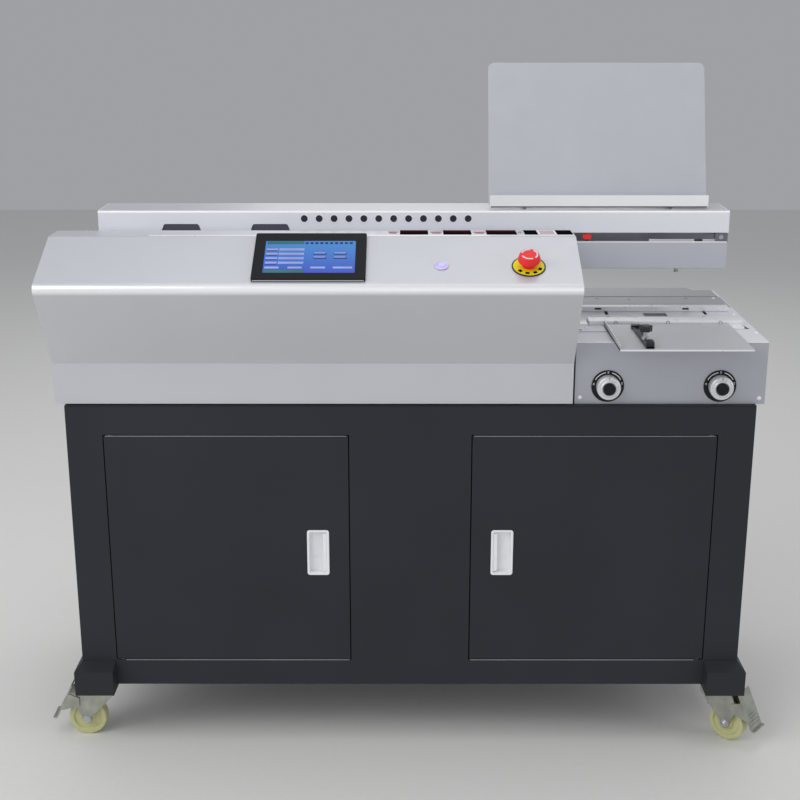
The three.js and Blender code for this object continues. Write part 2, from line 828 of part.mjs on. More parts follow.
const corners = [
  ["front_left", -1, 1, 0],
  ["front_right", 1, 1, frontTurn],
  ["rear_left", -1, -1, -rearTurn],
  ["rear_right", 1, -1, rearTurn],
];
for (const [place, side, end, turn] of corners) {
  const foot = subassembly(0, end > 0 ? 0 : cabinetDepth, 0);
  mirroredPart(foot, `foot_bracket_${place}`, cornerBracket(), side, end, slatePaint);
  const swivelX = side * (halfCabinet + bracketReach - bracketWidth / 2);
  const swivel = subassembly(swivelX, end * swivelSetback, 0, foot);
  swivel.name = `swivel_${place}`;
  const trailing = new THREE.Group();
  trailing.rotation.z = (side < 0 ? Math.PI : 0) + turn;
  swivel.add(trailing);
  const braked = end > 0;
  part(trailing, `caster_fork_${place}`, casterFork(braked), zincSteel);
  const axle = subassembly(casterTrail, 0, wheelRadius, trailing);
  axle.name = `axle_${place}`;
  part(axle, `caster_wheel_${place}`, casterWheel(), nylon);
  if (braked) part(trailing, `brake_pedal_${place}`, brakePedal(), zincSteel);
}

// Fixed housing: side plates on the deck, a rear housing and the strip that carries the cover's hinge
const housing = subassembly(0, 0, 0);
const plateFoot = deckLevel + seat;
const plateTop = stripTop - sheet - seat;
const plateRear = cabinetDepth - sheet - seat;
const stripSeat = throatFront - foldRadius - seat;
const underStrip = stripTop - stripFlange - seat;
const underSlope = coverLevel - (coverFold - housingFront) * Math.tan(slope) - 2 * sheet;
const plateBase = [[housingFront, plateFoot], [plateRear, plateFoot], [plateRear, rearHousingLevel]];
const plateNose = [[stripSeat, plateTop], [coverFold, plateTop], [housingFront, underSlope]];
const leftPlate = [...plateBase, [beamRear + seat, rearHousingLevel], [beamRear + seat, underStrip],
  [stripSeat, underStrip], ...plateNose];
const rightPlate = [...plateBase, [rearHousingFront, rearHousingLevel], [rearHousingFront, throatLevel],
  [stripSeat, throatLevel], ...plateNose];
const leftSide = prism("x", leftPlate, -halfCabinet, -halfCabinet + sheet);
const rightSide = prism("x", rightPlate, housingRight - sheet, housingRight);
part(housing, "housing_left_side", leftSide, silverPaint);
part(housing, "housing_right_side", rightSide, silverPaint);

const rearLine = [[rearHousingFront, plateFoot], [rearHousingFront, rearHousingLevel],
  [cabinetDepth, rearHousingLevel], [cabinetDepth, plateFoot]];
const rearSection = sheetSection(roundBends(rearLine, [foldRadius, foldRadius]), -sheet);
const rearShell = prism("x", rearSection, -halfCabinet + sheet + seat, housingRight - sheet - seat);
const rearVents = ventSlots((housingRight - halfCabinet) / 2, rearVentOffset, rearVentLevel);
part(housing, "rear_housing", cut(rearShell, ...rearVents), silverPaint);

const knuckleRun = housingRight + halfCabinet - 2 * knuckleInset - 2 * knuckleLength;
const knuckleStart = (i) => -halfCabinet + knuckleInset + (i * knuckleRun) / (knuckleCount - 1);

function knuckle(from, leafRange, levelRange) {
  const leaf = block([from, from + knuckleLength], leafRange, levelRange);
  return joined(bar("x", barrelRadius, from, from + knuckleLength, [0, 0]), leaf);
}

function hingeStrip() {
  const [front, back, top] = [stripFront - hingeSetback, throatFront - hingeSetback, stripTop - hingeLevel];
  const line = roundBends([[front, top], [back, top], [back, top - stripFlange]], [foldRadius]);
  const strip = prism("x", sheetSection(line, -sheet), -halfCabinet, housingRight);
  const knuckles = [];
  for (let i = 0; i < knuckleCount; i += 1) {
    const from = knuckleStart(i) + knuckleLength + seat;
    knuckles.push(knuckle(from, [knuckleOverlap, front + sheet], [-sheet, top - sheet / 2]));
  }
  const bore = bar("x", hingePinRadius + running, ...past([-halfCabinet, housingRight]), [0, 0]);
  return cut(joined(strip, ...knuckles), bore);
}

const hingeSeat = subassembly(0, hingeSetback, hingeLevel, housing);
part(hingeSeat, "cover_hinge_strip", hingeStrip(), silverPaint);
const pinRun = [knuckleStart(0) - sheet, knuckleStart(knuckleCount - 1) + 2 * knuckleLength + sheet];
part(hingeSeat, "cover_hinge_pin", bar("x", hingePinRadius, ...pinRun, [0, 0]), groundSteel);

// Front cover, built about its hinge axis, and the control panel on its slope
const cover = subassembly(0, hingeSetback, hingeLevel);
cover.name = "cover_axis";
const fromHinge = ([y, z]) => [y - hingeSetback, z - hingeLevel];
const coverCorners = [[coverRear, coverLevel], [coverFold, coverLevel], [-noseReach, noseLevel],
  [waistSetback, waistLevel], [waistSetback, deckLevel + skirtLift]].map(fromHinge);
const panel = subassembly(0, -noseReach - hingeSetback, noseLevel - hingeLevel, cover);
panel.rotation.x = slope;
panel.updateMatrix();
const onPanel = (geometry) => toSolid(geometry.applyMatrix4(panel.matrix));
const panelCentre = panelInset + panelHeight / 2;
const panelX = coverRight - panelInboard;
const stopX = coverRight - stopInboard;
const powerX = coverRight - powerInboard;

function shankHole(radius, depth, centre) {
  return onPanel(barGeometry("z", radius + running, -depth, overrun, centre, roundSides));
}

function frontCover() {
  const line = roundBends(coverCorners, [foldRadius, noseRadius, foldRadius]);
  const skin = prism("x", sheetSection(line, sheet), coverLeft, coverRight);
  const cheekBack = [
    [coverRear - sheet / 2, coverLevel - cheekDepth],
    [waistSetback + cheekDepth, waistLevel],
    [waistSetback + cheekDepth, deckLevel + skirtLift + sheet / 2],
  ].map(fromHinge);
  const cheekOutline = [...weldLine(line, sheet), ...cheekBack.reverse()];
  const cheekStarts = [coverLeft + lap, coverRight - lap - sheet];
  const cheeks = cheekStarts.map((x) => prism("x", cheekOutline, x, x + sheet));
  const knuckles = [];
  for (let i = 0; i < knuckleCount; i += 1) {
    knuckles.push(knuckle(knuckleStart(i), [-leafReach, -leafGap], [-sheet, hingeDrop - sheet / 2]));
  }
  const inset = panelBodyInset - running;
  const mouth = roundedRectangle(panelWidth - 2 * inset, panelHeight - 2 * inset, panelCorner,
    panelX, panelCentre);
  const window = onPanel(prismGeometry("z", mouth, -panelBodyDepth, overrun));
  const stopHole = shankHole(stopShankRadius, stopShankDepth, [stopX, stopInset]);
  const powerHole = shankHole(powerBarrelRadius, powerDepth, [powerX, powerInset]);
  const bore = bar("x", hingePinRadius + running, ...past([coverLeft, coverRight]), [0, 0]);
  return cut(joined(skin, ...cheeks, ...knuckles), bore, window, stopHole, powerHole);
}

part(cover, "front_cover", frontCover(), silverPaint);

function panelBezel() {
  const faceTop = seat + panelThickness;
  const face = prism("z", roundedRectangle(panelWidth, panelHeight, panelCorner), seat, faceTop);
  const [w, h] = [panelWidth - 2 * panelBodyInset, panelHeight - 2 * panelBodyInset];
  const back = roundedRectangle(w, h, panelCorner);
  const body = prism("z", back, -panelBodyDepth, faceTop - panelThickness / 2);
  const opening = roundedRectangle(screenWidth, screenHeight, panelCorner / 2, 0, screenLift);
  return cut(joined(face, body), prism("z", opening, faceTop - screenDepth, faceTop + overrun));
}

const bezelSeat = subassembly(panelX, panelCentre, 0, panel);
part(bezelSeat, "panel_bezel", panelBezel(), blackPlastic);
const screenFoot = panelThickness - screenDepth + 2 * seat;
const screen = roundedRectangle(screenWidth - 2 * running, screenHeight - 2 * running, panelCorner / 2,
  0, screenLift);
part(bezelSeat, "touch_screen", prism("z", screen, screenFoot, screenFoot + screenThickness), screenGlass);

const stopSeat = subassembly(stopX, stopInset, 0, panel);
stopSeat.name = "stop_axis";
const stopPlate = collar(stopShankRadius + running, stopPlateRadius, seat, seat + stopPlateThickness);
part(stopSeat, "stop_plate", stopPlate, signalYellow);
const stopHeadFoot = stopHeadRise - stopHeadThickness;
part(stopSeat, "stop_button", toSolid(turned([
  [0, -stopShankDepth],
  [stopShankRadius, -stopShankDepth],
  [stopShankRadius, stopNeckRise],
  [stopNeckRadius, stopNeckRise],
  [stopNeckRadius, stopHeadFoot],
  [stopHeadRadius, stopHeadFoot],
  [stopHeadRadius, stopHeadRise - sheet],
  [stopHeadRadius - sheet, stopHeadRise],
  [0, stopHeadRise],
])), signalRed);

const powerSeat = subassembly(powerX, powerInset, 0, panel);
powerSeat.name = "power_axis";
part(powerSeat, "power_button_ring", toSolid(turned([
  [powerCapRadius + running, -powerDepth],
  [powerBarrelRadius, -powerDepth],
  [powerBarrelRadius, seat],
  [powerRingRadius, seat],
  [powerRingRadius, powerRingRise],
  [powerCapRadius + running, powerRingRise],
])), groundSteel);
const powerCap = bar("z", powerCapRadius, -powerDepth / 2, powerCapRise, [0, 0], roundSides);
part(powerSeat, "power_button", powerCap, violetGlow);

// Beam: a sheet cover round the frame plate's arm, the guide rods and the sliding clamp
const beam = subassembly(0, 0, 0);

function beamCover() {
  const bends = [[beamFront, beamFaceLevel], [beamFront, beamLevel], [beamRear, beamLevel],
    [beamRear, beamBackLevel]];
  const line = roundBends(bends, [foldRadius, foldRadius]);
  const skin = prism("x", sheetSection(line, -sheet), beamLeft, beamRight);
  const endPlate = prism("x", weldLine(line, -sheet), beamLeft + lap, beamLeft + lap + sheet);
  const face = past([beamFront, beamFront + sheet]);
  const holes = [];
  for (let i = 0; i < ventHoleCount; i += 1) {
    const x = beamLeft + ventHoleInset + i * ventHolePitch;
    holes.push(bar("y", ventHoleRadius, ...face, [x, beamLevel - ventHoleDrop]));
  }
  for (const inset of windowInsets) {
    const [left, right] = around(beamLeft + inset, windowWidth);
    const [topLeft, topRight] = around(beamLeft + inset, windowTopWidth);
    const [foot, top] = [beamFaceLevel - overrun, beamFaceLevel + windowHeight];
    holes.push(prism("y", [[left, foot], [right, foot], [right, beamFaceLevel], [topRight, top],
      [topLeft, top], [left, beamFaceLevel]], ...face));
  }
  return cut(joined(skin, endPlate), ...holes);
}

part(beam, "beam_cover", beamCover(), silverPaint);

const armLeft = beamLeft + lap + sheet + seat;
const armRight = beamRight - armInset;
const rodLine = framePlateFront - rodSetback;
const rodLevels = rodDrops.map((drop) => beamLevel - drop);

function rodBores(run) {
  return rodLevels.map((level) => bar("x", rodRadius + running, ...past(run), [rodLine, level]));
}

function machineFrame() {
  const outline = [[armLeft, plateFoot], [framePlateEnd, plateFoot], [framePlateEnd, armLevel],
    [armRight, armLevel], [armRight, armTop], [armLeft, armTop]];
  const plate = prism("y", outline, framePlateFront, framePlateRear);
  const blocks = [armLeft, armRight - railBlock].map((x) => block([x, x + railBlock],
    [framePlateFront - railBlockDepth, framePlateFront + sheet], [saddleLevel, saddleTop]));
  return cut(joined(plate, ...blocks), ...rodBores([armLeft, armRight]));
}

part(beam, "machine_frame", machineFrame(), darkSteel);
["lower_guide_rod", "upper_guide_rod"].forEach((name, i) => {
  part(beam, name, bar("x", rodRadius, armLeft + seat, armRight, [rodLine, rodLevels[i]]), groundSteel);
});

const clamp = subassembly(0, 0, 0, beam);
const clampRight = beamRight - clampRightGap;
const clampRun = [clampRight - clampLength, clampRight];
const backJawFront = beamFront + jawThickness + jawOpening;
const jawRods = [clampRun[0] + jawRodInset, clampRun[1] - jawRodInset];

function clampCarriage() {
  const weld = backJawFront + backJawThickness / 2;
  const backJaw = block(clampRun, [backJawFront, backJawFront + backJawThickness], [jawLevel, backJawTop]);
  const saddle = block([clampRun[0] + saddleInset, clampRun[1] - saddleInset],
    [weld, framePlateFront - saddleClearance], [saddleLevel, saddleTop]);
  const rods = jawRods.map((x) => bar("y", jawRodRadius, beamFront + sheet, weld, [x, jawRodLevel]));
  return joined(cut(joined(backJaw, saddle), ...rodBores(clampRun)), ...rods);
}

function clampJaw() {
  const depth = [beamFront, beamFront + jawThickness];
  const jaw = block(clampRun, depth, [jawLevel, jawLevel + jawHeight]);
  const lugs = jawRods.map((x) => {
    const [left, right] = around(x, jawLug);
    const run = [Math.max(left, clampRun[0]), Math.min(right, clampRun[1])];
    return block(run, depth, [jawLevel + jawHeight - sheet, jawLugTop]);
  });
  const bores = jawRods.map((x) => bar("y", jawRodRadius + running, ...past(depth), [x, jawRodLevel]));
  return cut(joined(jaw, ...lugs), ...bores);
}

part(clamp, "clamp_carriage", clampCarriage(), silverPaint);
part(clamp, "clamp_jaw", clampJaw(), silverPaint);

// Book rest: a leaning plate with a lipped ledge, on two gussets
function bookRest() {
  const plate = new THREE.Shape();
  plate.moveTo(0, 0);
  plate.lineTo(restWidth, 0);
  plate.lineTo(restWidth, restLength - restCorner);
  plate.absarc(restWidth - restCorner, restLength - restCorner, restCorner, 0, Math.PI / 2);
  plate.lineTo(restCorner, restLength);
  plate.absarc(restCorner, restLength - restCorner, restCorner, Math.PI / 2, Math.PI);
  const board = prismGeometry("y", plate, 0, sheet).rotateX(-restLean);
  const ledge = block([0, restWidth], [-restLedge, sheet], [0, sheet]);
  const lip = block([0, restWidth], [-restLedge, -restLedge + sheet], [0, restLip]);
  const foot = -restLift + seat;
  const back = Math.tan(restLean) * gussetHeight;
  const gusset = [[-restLedge / 2, foot], [gussetDepth, foot], [gussetDepth, sheet],
    [back + sheet, gussetHeight], [sheet / 2, sheet / 2], [-restLedge / 2, sheet / 2]];
  const gussetX = [gussetInset, restWidth - gussetInset];
  const gussets = gussetX.map((x) => prism("x", gusset, ...around(x, gussetThickness)));
  return joined(toSolid(board), ledge, lip, ...gussets);
}

const rest = subassembly(restLeft, restSetback, beamLevel + restLift, beam);
part(rest, "book_rest", bookRest(), silverPaint);

// Nipping bed: an open-topped box, its slotted top plate and two plates that close on the spine
const bed = subassembly(0, 0, 0);
const nipKeys = [nipLeft + nipKeyInset, nipRight - nipKeyInset];

function bedBox() {
  const [front, back, top] = [bedFront, bedRear - bedStepY, bedLevel - sheet - seat];
  const outside = block([bedLeft, bedRight], [front, back], [plateFoot, top]);
  const inside = block([bedLeft + sheet, bedRight - sheet], [front + sheet, back - sheet],
    past([plateFoot, top]));
  const skin = past([front, front + sheet]);
  const shafts = dialX.map((x) => bar("y", dialShaftRadius + running, ...skin, [x, dialLevel]));
  return cut(outside, inside, ...shafts);
}

function bedTop() {
  const [stepX, stepY] = [bedRight - bedStepX, bedRear - bedStepY];
  const outline = [[bedLeft, bedFront], [bedRight, bedFront], [bedRight, stepY], [stepX, stepY],
    [stepX - bedStepY / 2, bedRear], [bedLeft, bedRear]];
  const skin = [bedLevel - sheet, bedLevel];
  const windowY = around(spineSetback + bedWindowBehind, bedWindowDepth);
  const window = block(around(bedLeft + bedWindowInset, bedWindowWidth), windowY, past(skin));
  const reach = nipKey / 2 + running;
  const [front, back] = [nipFrontSetback + nipDepth / 2, nipBackSetback + nipDepth / 2];
  const runs = [[front - reach, front + nipTravel + reach], [back - nipTravel - reach, back + reach]];
  const slots = nipKeys.flatMap((x) => runs.map((run) => block([x - reach, x + reach], run, past(skin))));
  return cut(prism("z", outline, ...skin), window, ...slots);
}

function nipPlate(setback) {
  const foot = bedLevel + seat;
  const body = block([nipLeft, nipRight], [setback, setback + nipDepth], [foot, foot + nipHeight]);
  const depth = around(setback + nipDepth / 2, nipKey);
  const height = [bedLevel - nipKeyDrop, foot + nipHeight / 2];
  return joined(body, ...nipKeys.map((x) => block(around(x, nipKey), depth, height)));
}

part(bed, "bed_box", bedBox(), silverPaint);
part(bed, "bed_top", bedTop(), silverPaint);
part(bed, "front_nip_plate", nipPlate(nipFrontSetback), castAlloy);
const holeHeight = around(bedLevel + seat + nipHeight / 2, nipHoleHeight);
const holeDepth = around(nipBackSetback, 2 * overrun);
const nipHoleX = [nipLeft + nipHoleLeftInset, nipRight - nipHoleRightInset];
const backHoles = nipHoleX.map((x) => block(around(x, nipHoleWidth), holeDepth, holeHeight));
part(bed, "back_nip_plate", cut(nipPlate(nipBackSetback), ...backHoles), castAlloy);

// Paper tray over the bed's front edge, with a sliding side stop
function paperTray() {
  const top = block([0, trayWidth], [-trayReach, trayRear], [trayLevel - sheet, trayLevel]);
  const hem = block([0, trayWidth], [-trayReach, -trayReach + sheet], [trayLevel - trayHem, trayLevel]);
  const rim = block([0, sheet], [-trayReach, trayRear], [trayLevel - sheet, trayLevel + trayRim]);
  const height = [bedLevel + seat, trayLevel - sheet / 2];
  const runnerX = [trayRunnerInset, trayWidth - trayRunnerInset];
  const runners = runnerX.map((x) => block(around(x, trayRunner), [bedFront, trayRear], height));
  return joined(top, hem, rim, ...runners);
}

part(subassembly(trayLeft, 0, 0, bed), "paper_tray", paperTray(), silverPaint);

const sideStop = subassembly(trayLeft + stopBarInset, 0, trayLevel + seat, bed);
const stopBarFront = stopBarFrontInset - trayReach;
const stopBarRear = trayRear - stopBarRearInset;
sideStop.name = "side_stop_axis";
const stemRise = stopBarHeight + stopStemRise;
part(sideStop, "side_stop", joined(
  block([0, stopBarWidth], [stopBarFront, stopBarRear], [0, stopBarHeight]),
  block([0, stopBarWidth], [stopBarFront, stopBarFront + stopFootLength], [0, stopFootHeight]),
  bar("z", stopStemRadius, stopBarHeight / 2, stemRise, [stopBarWidth / 2, -stopStemSetback]),
), darkSteel);

function wingKnob() {
  const outline = [];
  const points = 2 * roundSides;
  for (let i = 0; i < points; i += 1) {
    const angle = (i / points) * 2 * Math.PI;
    const radius = stopKnobRadius * (1 + stopKnobWaveShare * Math.cos(angle * stopKnobWings));
    outline.push([radius * Math.cos(angle), radius * Math.sin(angle)]);
  }
  const knob = prism("z", outline, 0, stopKnobHeight);
  return cut(knob, bar("z", stopStemRadius + running, -overrun, stopKnobHeight / 2, [0, 0]));
}

const knobLevel = stemRise - stopKnobHeight / 2 + seat;
const knobSeat = subassembly(stopBarWidth / 2, -stopStemSetback, knobLevel, sideStop);
knobSeat.name = "stop_knob_axis";
part(knobSeat, "side_stop_knob", wingKnob(), blackPlastic);

// Setting dials on the bed's front, turned about their own +Z, which points at the operator
const dialNames = ["left", "right"];
const ringTop = seat + dialRingThickness;
const knobFoot = ringTop + seat;
const skirtTop = knobFoot + dialKnobSkirt;
const gripTop = skirtTop + dialGripLength;
const hubTop = gripTop + dialHubLength;
const dialProfile = [
  [0, -dialShaftLength],
  [dialShaftRadius, -dialShaftLength],
  [dialShaftRadius, knobFoot],
  [dialKnobRadius, knobFoot],
  [dialKnobRadius, skirtTop],
  [dialGripRadius, skirtTop],
  [dialGripRadius, gripTop],
  [dialHubRadius, gripTop],
  [dialHubRadius, hubTop],
  [0, hubTop],
];
dialX.forEach((x, i) => {
  const dial = subassembly(x, bedFront, dialLevel, bed);
  dial.name = `${dialNames[i]}_dial_axis`;
  dial.rotation.x = Math.PI / 2;
  const ring = collar(dialShaftRadius + running, dialRingRadius, seat, ringTop);
  part(dial, `${dialNames[i]}_dial_ring`, ring, blackPlastic);
  part(dial, `${dialNames[i]}_dial_knob`, toSolid(turned(dialProfile)), groundSteel);
});

// Glue tank with its roller, and the milling station, under the clamp's path
const stations = subassembly(0, 0, 0);
const rollerLevel = bedLevel - spineGap - rollerRadius;

function glueTank() {
  const outside = block([0, tankLength], [0, tankDepth], [tankLevel, tankLevel + tankHeight]);
  const inside = block([tankWall, tankLength - tankWall], [tankWall, tankDepth - tankWall],
    [tankLevel + tankWall, tankLevel + tankHeight + overrun]);
  const footHeight = [plateFoot, tankLevel + tankWall / 2];
  const feet = [0, tankLength - tankFoot].map((x) => block([x, x + tankFoot], [0, tankDepth], footHeight));
  const bearing = bar("y", rollerAxle + running, ...past([0, tankDepth]), [rollerX - tankLeft, rollerLevel]);
  return joined(cut(outside, inside, bearing), ...feet);
}

part(subassembly(tankLeft, tankFront, 0, stations), "glue_tank", glueTank(), castAlloy);
const roller = subassembly(rollerX, tankFront + tankDepth / 2, rollerLevel, stations);
roller.name = "roller_axis";
part(roller, "glue_roller", joined(
  bar("y", rollerRadius, ...around(0, rollerWidth), [0, 0], roundSides),
  bar("y", rollerAxle, ...around(0, tankDepth), [0, 0]),
), groundSteel);

const mill = subassembly(millX, spineSetback, 0, stations);
mill.name = "mill_axis";
const flangeTop = plateFoot + motorFlange;
const spindleTop = cutterTop - sheet;
part(mill, "milling_motor", toSolid(turned([
  [0, plateFoot],
  [motorRadius + sheet, plateFoot],
  [motorRadius + sheet, flangeTop],
  [motorRadius, flangeTop],
  [motorRadius, motorTop],
  [spindleRadius, motorTop],
  [spindleRadius, spindleTop],
  [0, spindleTop],
])), castAlloy);

function millingCutter() {
  const disc = bar("z", cutterRadius, cutterTop - cutterThickness, cutterTop, [0, 0], cutterSides);
  const depth = past([cutterTop - cutterThickness, cutterTop]);
  const gullets = [];
  for (let i = 0; i < cutterTeeth; i += 1) {
    const angle = (i / cutterTeeth) * 2 * Math.PI;
    const centre = [cutterRadius * Math.cos(angle), cutterRadius * Math.sin(angle)];
    gullets.push(bar("z", cutterGullet, ...depth, centre, gulletSides));
  }
  return cut(disc, bar("z", spindleRadius + running, ...depth, [0, 0]), ...gullets);
}

part(mill, "milling_cutter", millingCutter(), groundSteel);

// The origin is under the middle of the whole machine, on the floor
const reach = new THREE.Box3().setFromObject(machine);
const middle = reach.getCenter(new THREE.Vector3());
machine.position.set(-middle.x, -middle.y, -reach.min.z);

export default machine;
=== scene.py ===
"""Looks of a floor-standing glue binding machine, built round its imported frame.

Lengths are in millimetres unless a name says otherwise. They are measured from the middle of the
cabinet's front edge on the floor: X to the machine's right, Y to its back, Z up.
"""

import json
import logging
import math
from collections.abc import Callable, Iterator
from contextlib import contextmanager
from dataclasses import dataclass, field
from enum import Enum

import bmesh
import bpy
from mathutils import Matrix, Vector


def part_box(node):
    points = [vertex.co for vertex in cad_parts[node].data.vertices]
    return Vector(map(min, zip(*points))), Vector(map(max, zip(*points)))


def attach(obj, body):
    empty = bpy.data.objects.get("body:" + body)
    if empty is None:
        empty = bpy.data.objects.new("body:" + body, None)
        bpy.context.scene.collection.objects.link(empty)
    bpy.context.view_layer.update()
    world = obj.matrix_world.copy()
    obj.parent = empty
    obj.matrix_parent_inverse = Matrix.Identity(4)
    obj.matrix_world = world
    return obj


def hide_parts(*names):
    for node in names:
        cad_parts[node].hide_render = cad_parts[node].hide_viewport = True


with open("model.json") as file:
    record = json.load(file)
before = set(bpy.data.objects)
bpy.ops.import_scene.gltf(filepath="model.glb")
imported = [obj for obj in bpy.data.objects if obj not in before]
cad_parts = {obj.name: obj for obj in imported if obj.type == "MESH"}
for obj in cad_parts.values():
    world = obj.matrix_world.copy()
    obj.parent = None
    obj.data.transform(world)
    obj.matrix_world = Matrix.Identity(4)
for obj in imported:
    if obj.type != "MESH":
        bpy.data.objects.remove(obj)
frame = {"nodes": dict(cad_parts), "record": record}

MM = 0.001
LOG = logging.getLogger("binding_machine")
Point = tuple[float, float, float]
Flat = tuple[float, float]
Colour = tuple[float, float, float]
Test = Callable[[Vector, Vector], bool]
Piece = bpy.types.Object
Socket = bpy.types.NodeSocket
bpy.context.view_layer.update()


class Axis(Enum):
    """The axis that an outline is swept along or a bar lies on."""

    X = 0
    Y = 1
    Z = 2

    def lift(self, outline_point: Flat, along: float) -> Vector:
        """Puts an outline point and its place along the axis into space.

        Args:
            outline_point: the two coordinates across the axis, in X, Y, Z order.
            along: the coordinate along the axis.

        Returns:
            The point in space.
        """
        a, b = outline_point
        return Vector({Axis.X: (along, a, b), Axis.Y: (a, along, b), Axis.Z: (a, b, along)}[self])

    @property
    def unit(self) -> Vector:
        """The axis as a unit vector."""
        return Vector([float(i == self.value) for i in range(3)])


def arc(centre: Flat, radius: float, start: float, end: float, steps: int = 6) -> list[Flat]:
    """Points on an arc.

    Args:
        centre: the arc's centre.
        radius: its radius.
        start: first angle in degrees.
        end: last angle in degrees.
        steps: number of chords.

    Returns:
        The points from start to end.
    """
    turns = [math.radians(start + (end - start) * i / steps) for i in range(steps + 1)]
    return [(centre[0] + radius * math.cos(t), centre[1] + radius * math.sin(t)) for t in turns]


def rounded_rectangle(width: float, height: float, radius: float, centre: Flat = (0.0, 0.0)) -> list[Flat]:
    """The outline of a rectangle with round corners, anticlockwise.

    Args:
        width: size along the first coordinate.
        height: size along the second.
        radius: corner radius.
        centre: the middle of the rectangle.

    Returns:
        The outline's points.
    """
    points: list[Flat] = []
    for sx, sy, start in ((1, -1, -90), (1, 1, 0), (-1, 1, 90), (-1, -1, 180)):
        corner = (centre[0] + sx * (width / 2 - radius), centre[1] + sy * (height / 2 - radius))
        points += arc(corner, radius, start, start + 90, 4)
    return points


def bent_line(corners: list[Flat], radii: list[float], steps: int = 8) -> list[Flat]:
    """A line with a round bend at each inner corner.

    Args:
        corners: the sharp corners, ends included.
        radii: one bend radius for each inner corner.
        steps: number of chords in a bend.

    Returns:
        The line's points.
    """
    line = [corners[0]]
    for i, radius in enumerate(radii, start=1):
        before, corner, after = (Vector(p) for p in corners[i - 1:i + 2])
        back, ahead = (before - corner).normalized(), (after - corner).normalized()
        half = math.acos(back.dot(ahead)) / 2
        centre = corner + (back + ahead).normalized() * (radius / math.sin(half))
        start = corner + back * (radius / math.tan(half)) - centre
        end = corner + ahead * (radius / math.tan(half)) - centre
        first = math.atan2(start.y, start.x)
        turn = (math.atan2(end.y, end.x) - first + math.pi) % math.tau - math.pi
        line += arc(tuple(centre), radius, math.degrees(first), math.degrees(first + turn), steps)
    line.append(corners[-1])
    return line


def offset_line(line: list[Flat], distance: float) -> list[Flat]:
    """A line beside another one, mitred at its corners.

    Args:
        line: the first line.
        distance: how far the new one lies to the left of it, or to the right if negative.

    Returns:
        The new line's points.
    """
    points = [Vector(p) for p in line]
    beside: list[Flat] = []
    for i, here in enumerate(points):
        into = (here - points[i - 1]).normalized() if i else None
        out = (points[i + 1] - here).normalized() if i < len(points) - 1 else None
        first, second = into or out, out or into
        normal = Vector((-first.y - second.y, first.x + second.x)).normalized()
        stretch = distance / (normal.x * -first.y + normal.y * first.x)
        beside.append((here.x + normal.x * stretch, here.y + normal.y * stretch))
    return beside


def sheet_section(line: list[Flat], thickness: float) -> list[Flat]:
    """The closed section of a bent sheet that lies to the left of a line, or right if negative."""
    return line + offset_line(line, thickness)[::-1]


def around(middle: float, half: float) -> Flat:
    """The limits at one distance on both sides of a middle."""
    return middle - half, middle + half


def tube_profile(inner: float, outer: float, low: float, high: float) -> list[Flat]:
    """The closed profile of a tube, as radius and place along its axis."""
    return [(inner, low), (outer, low), (outer, high), (inner, high), (inner, low)]


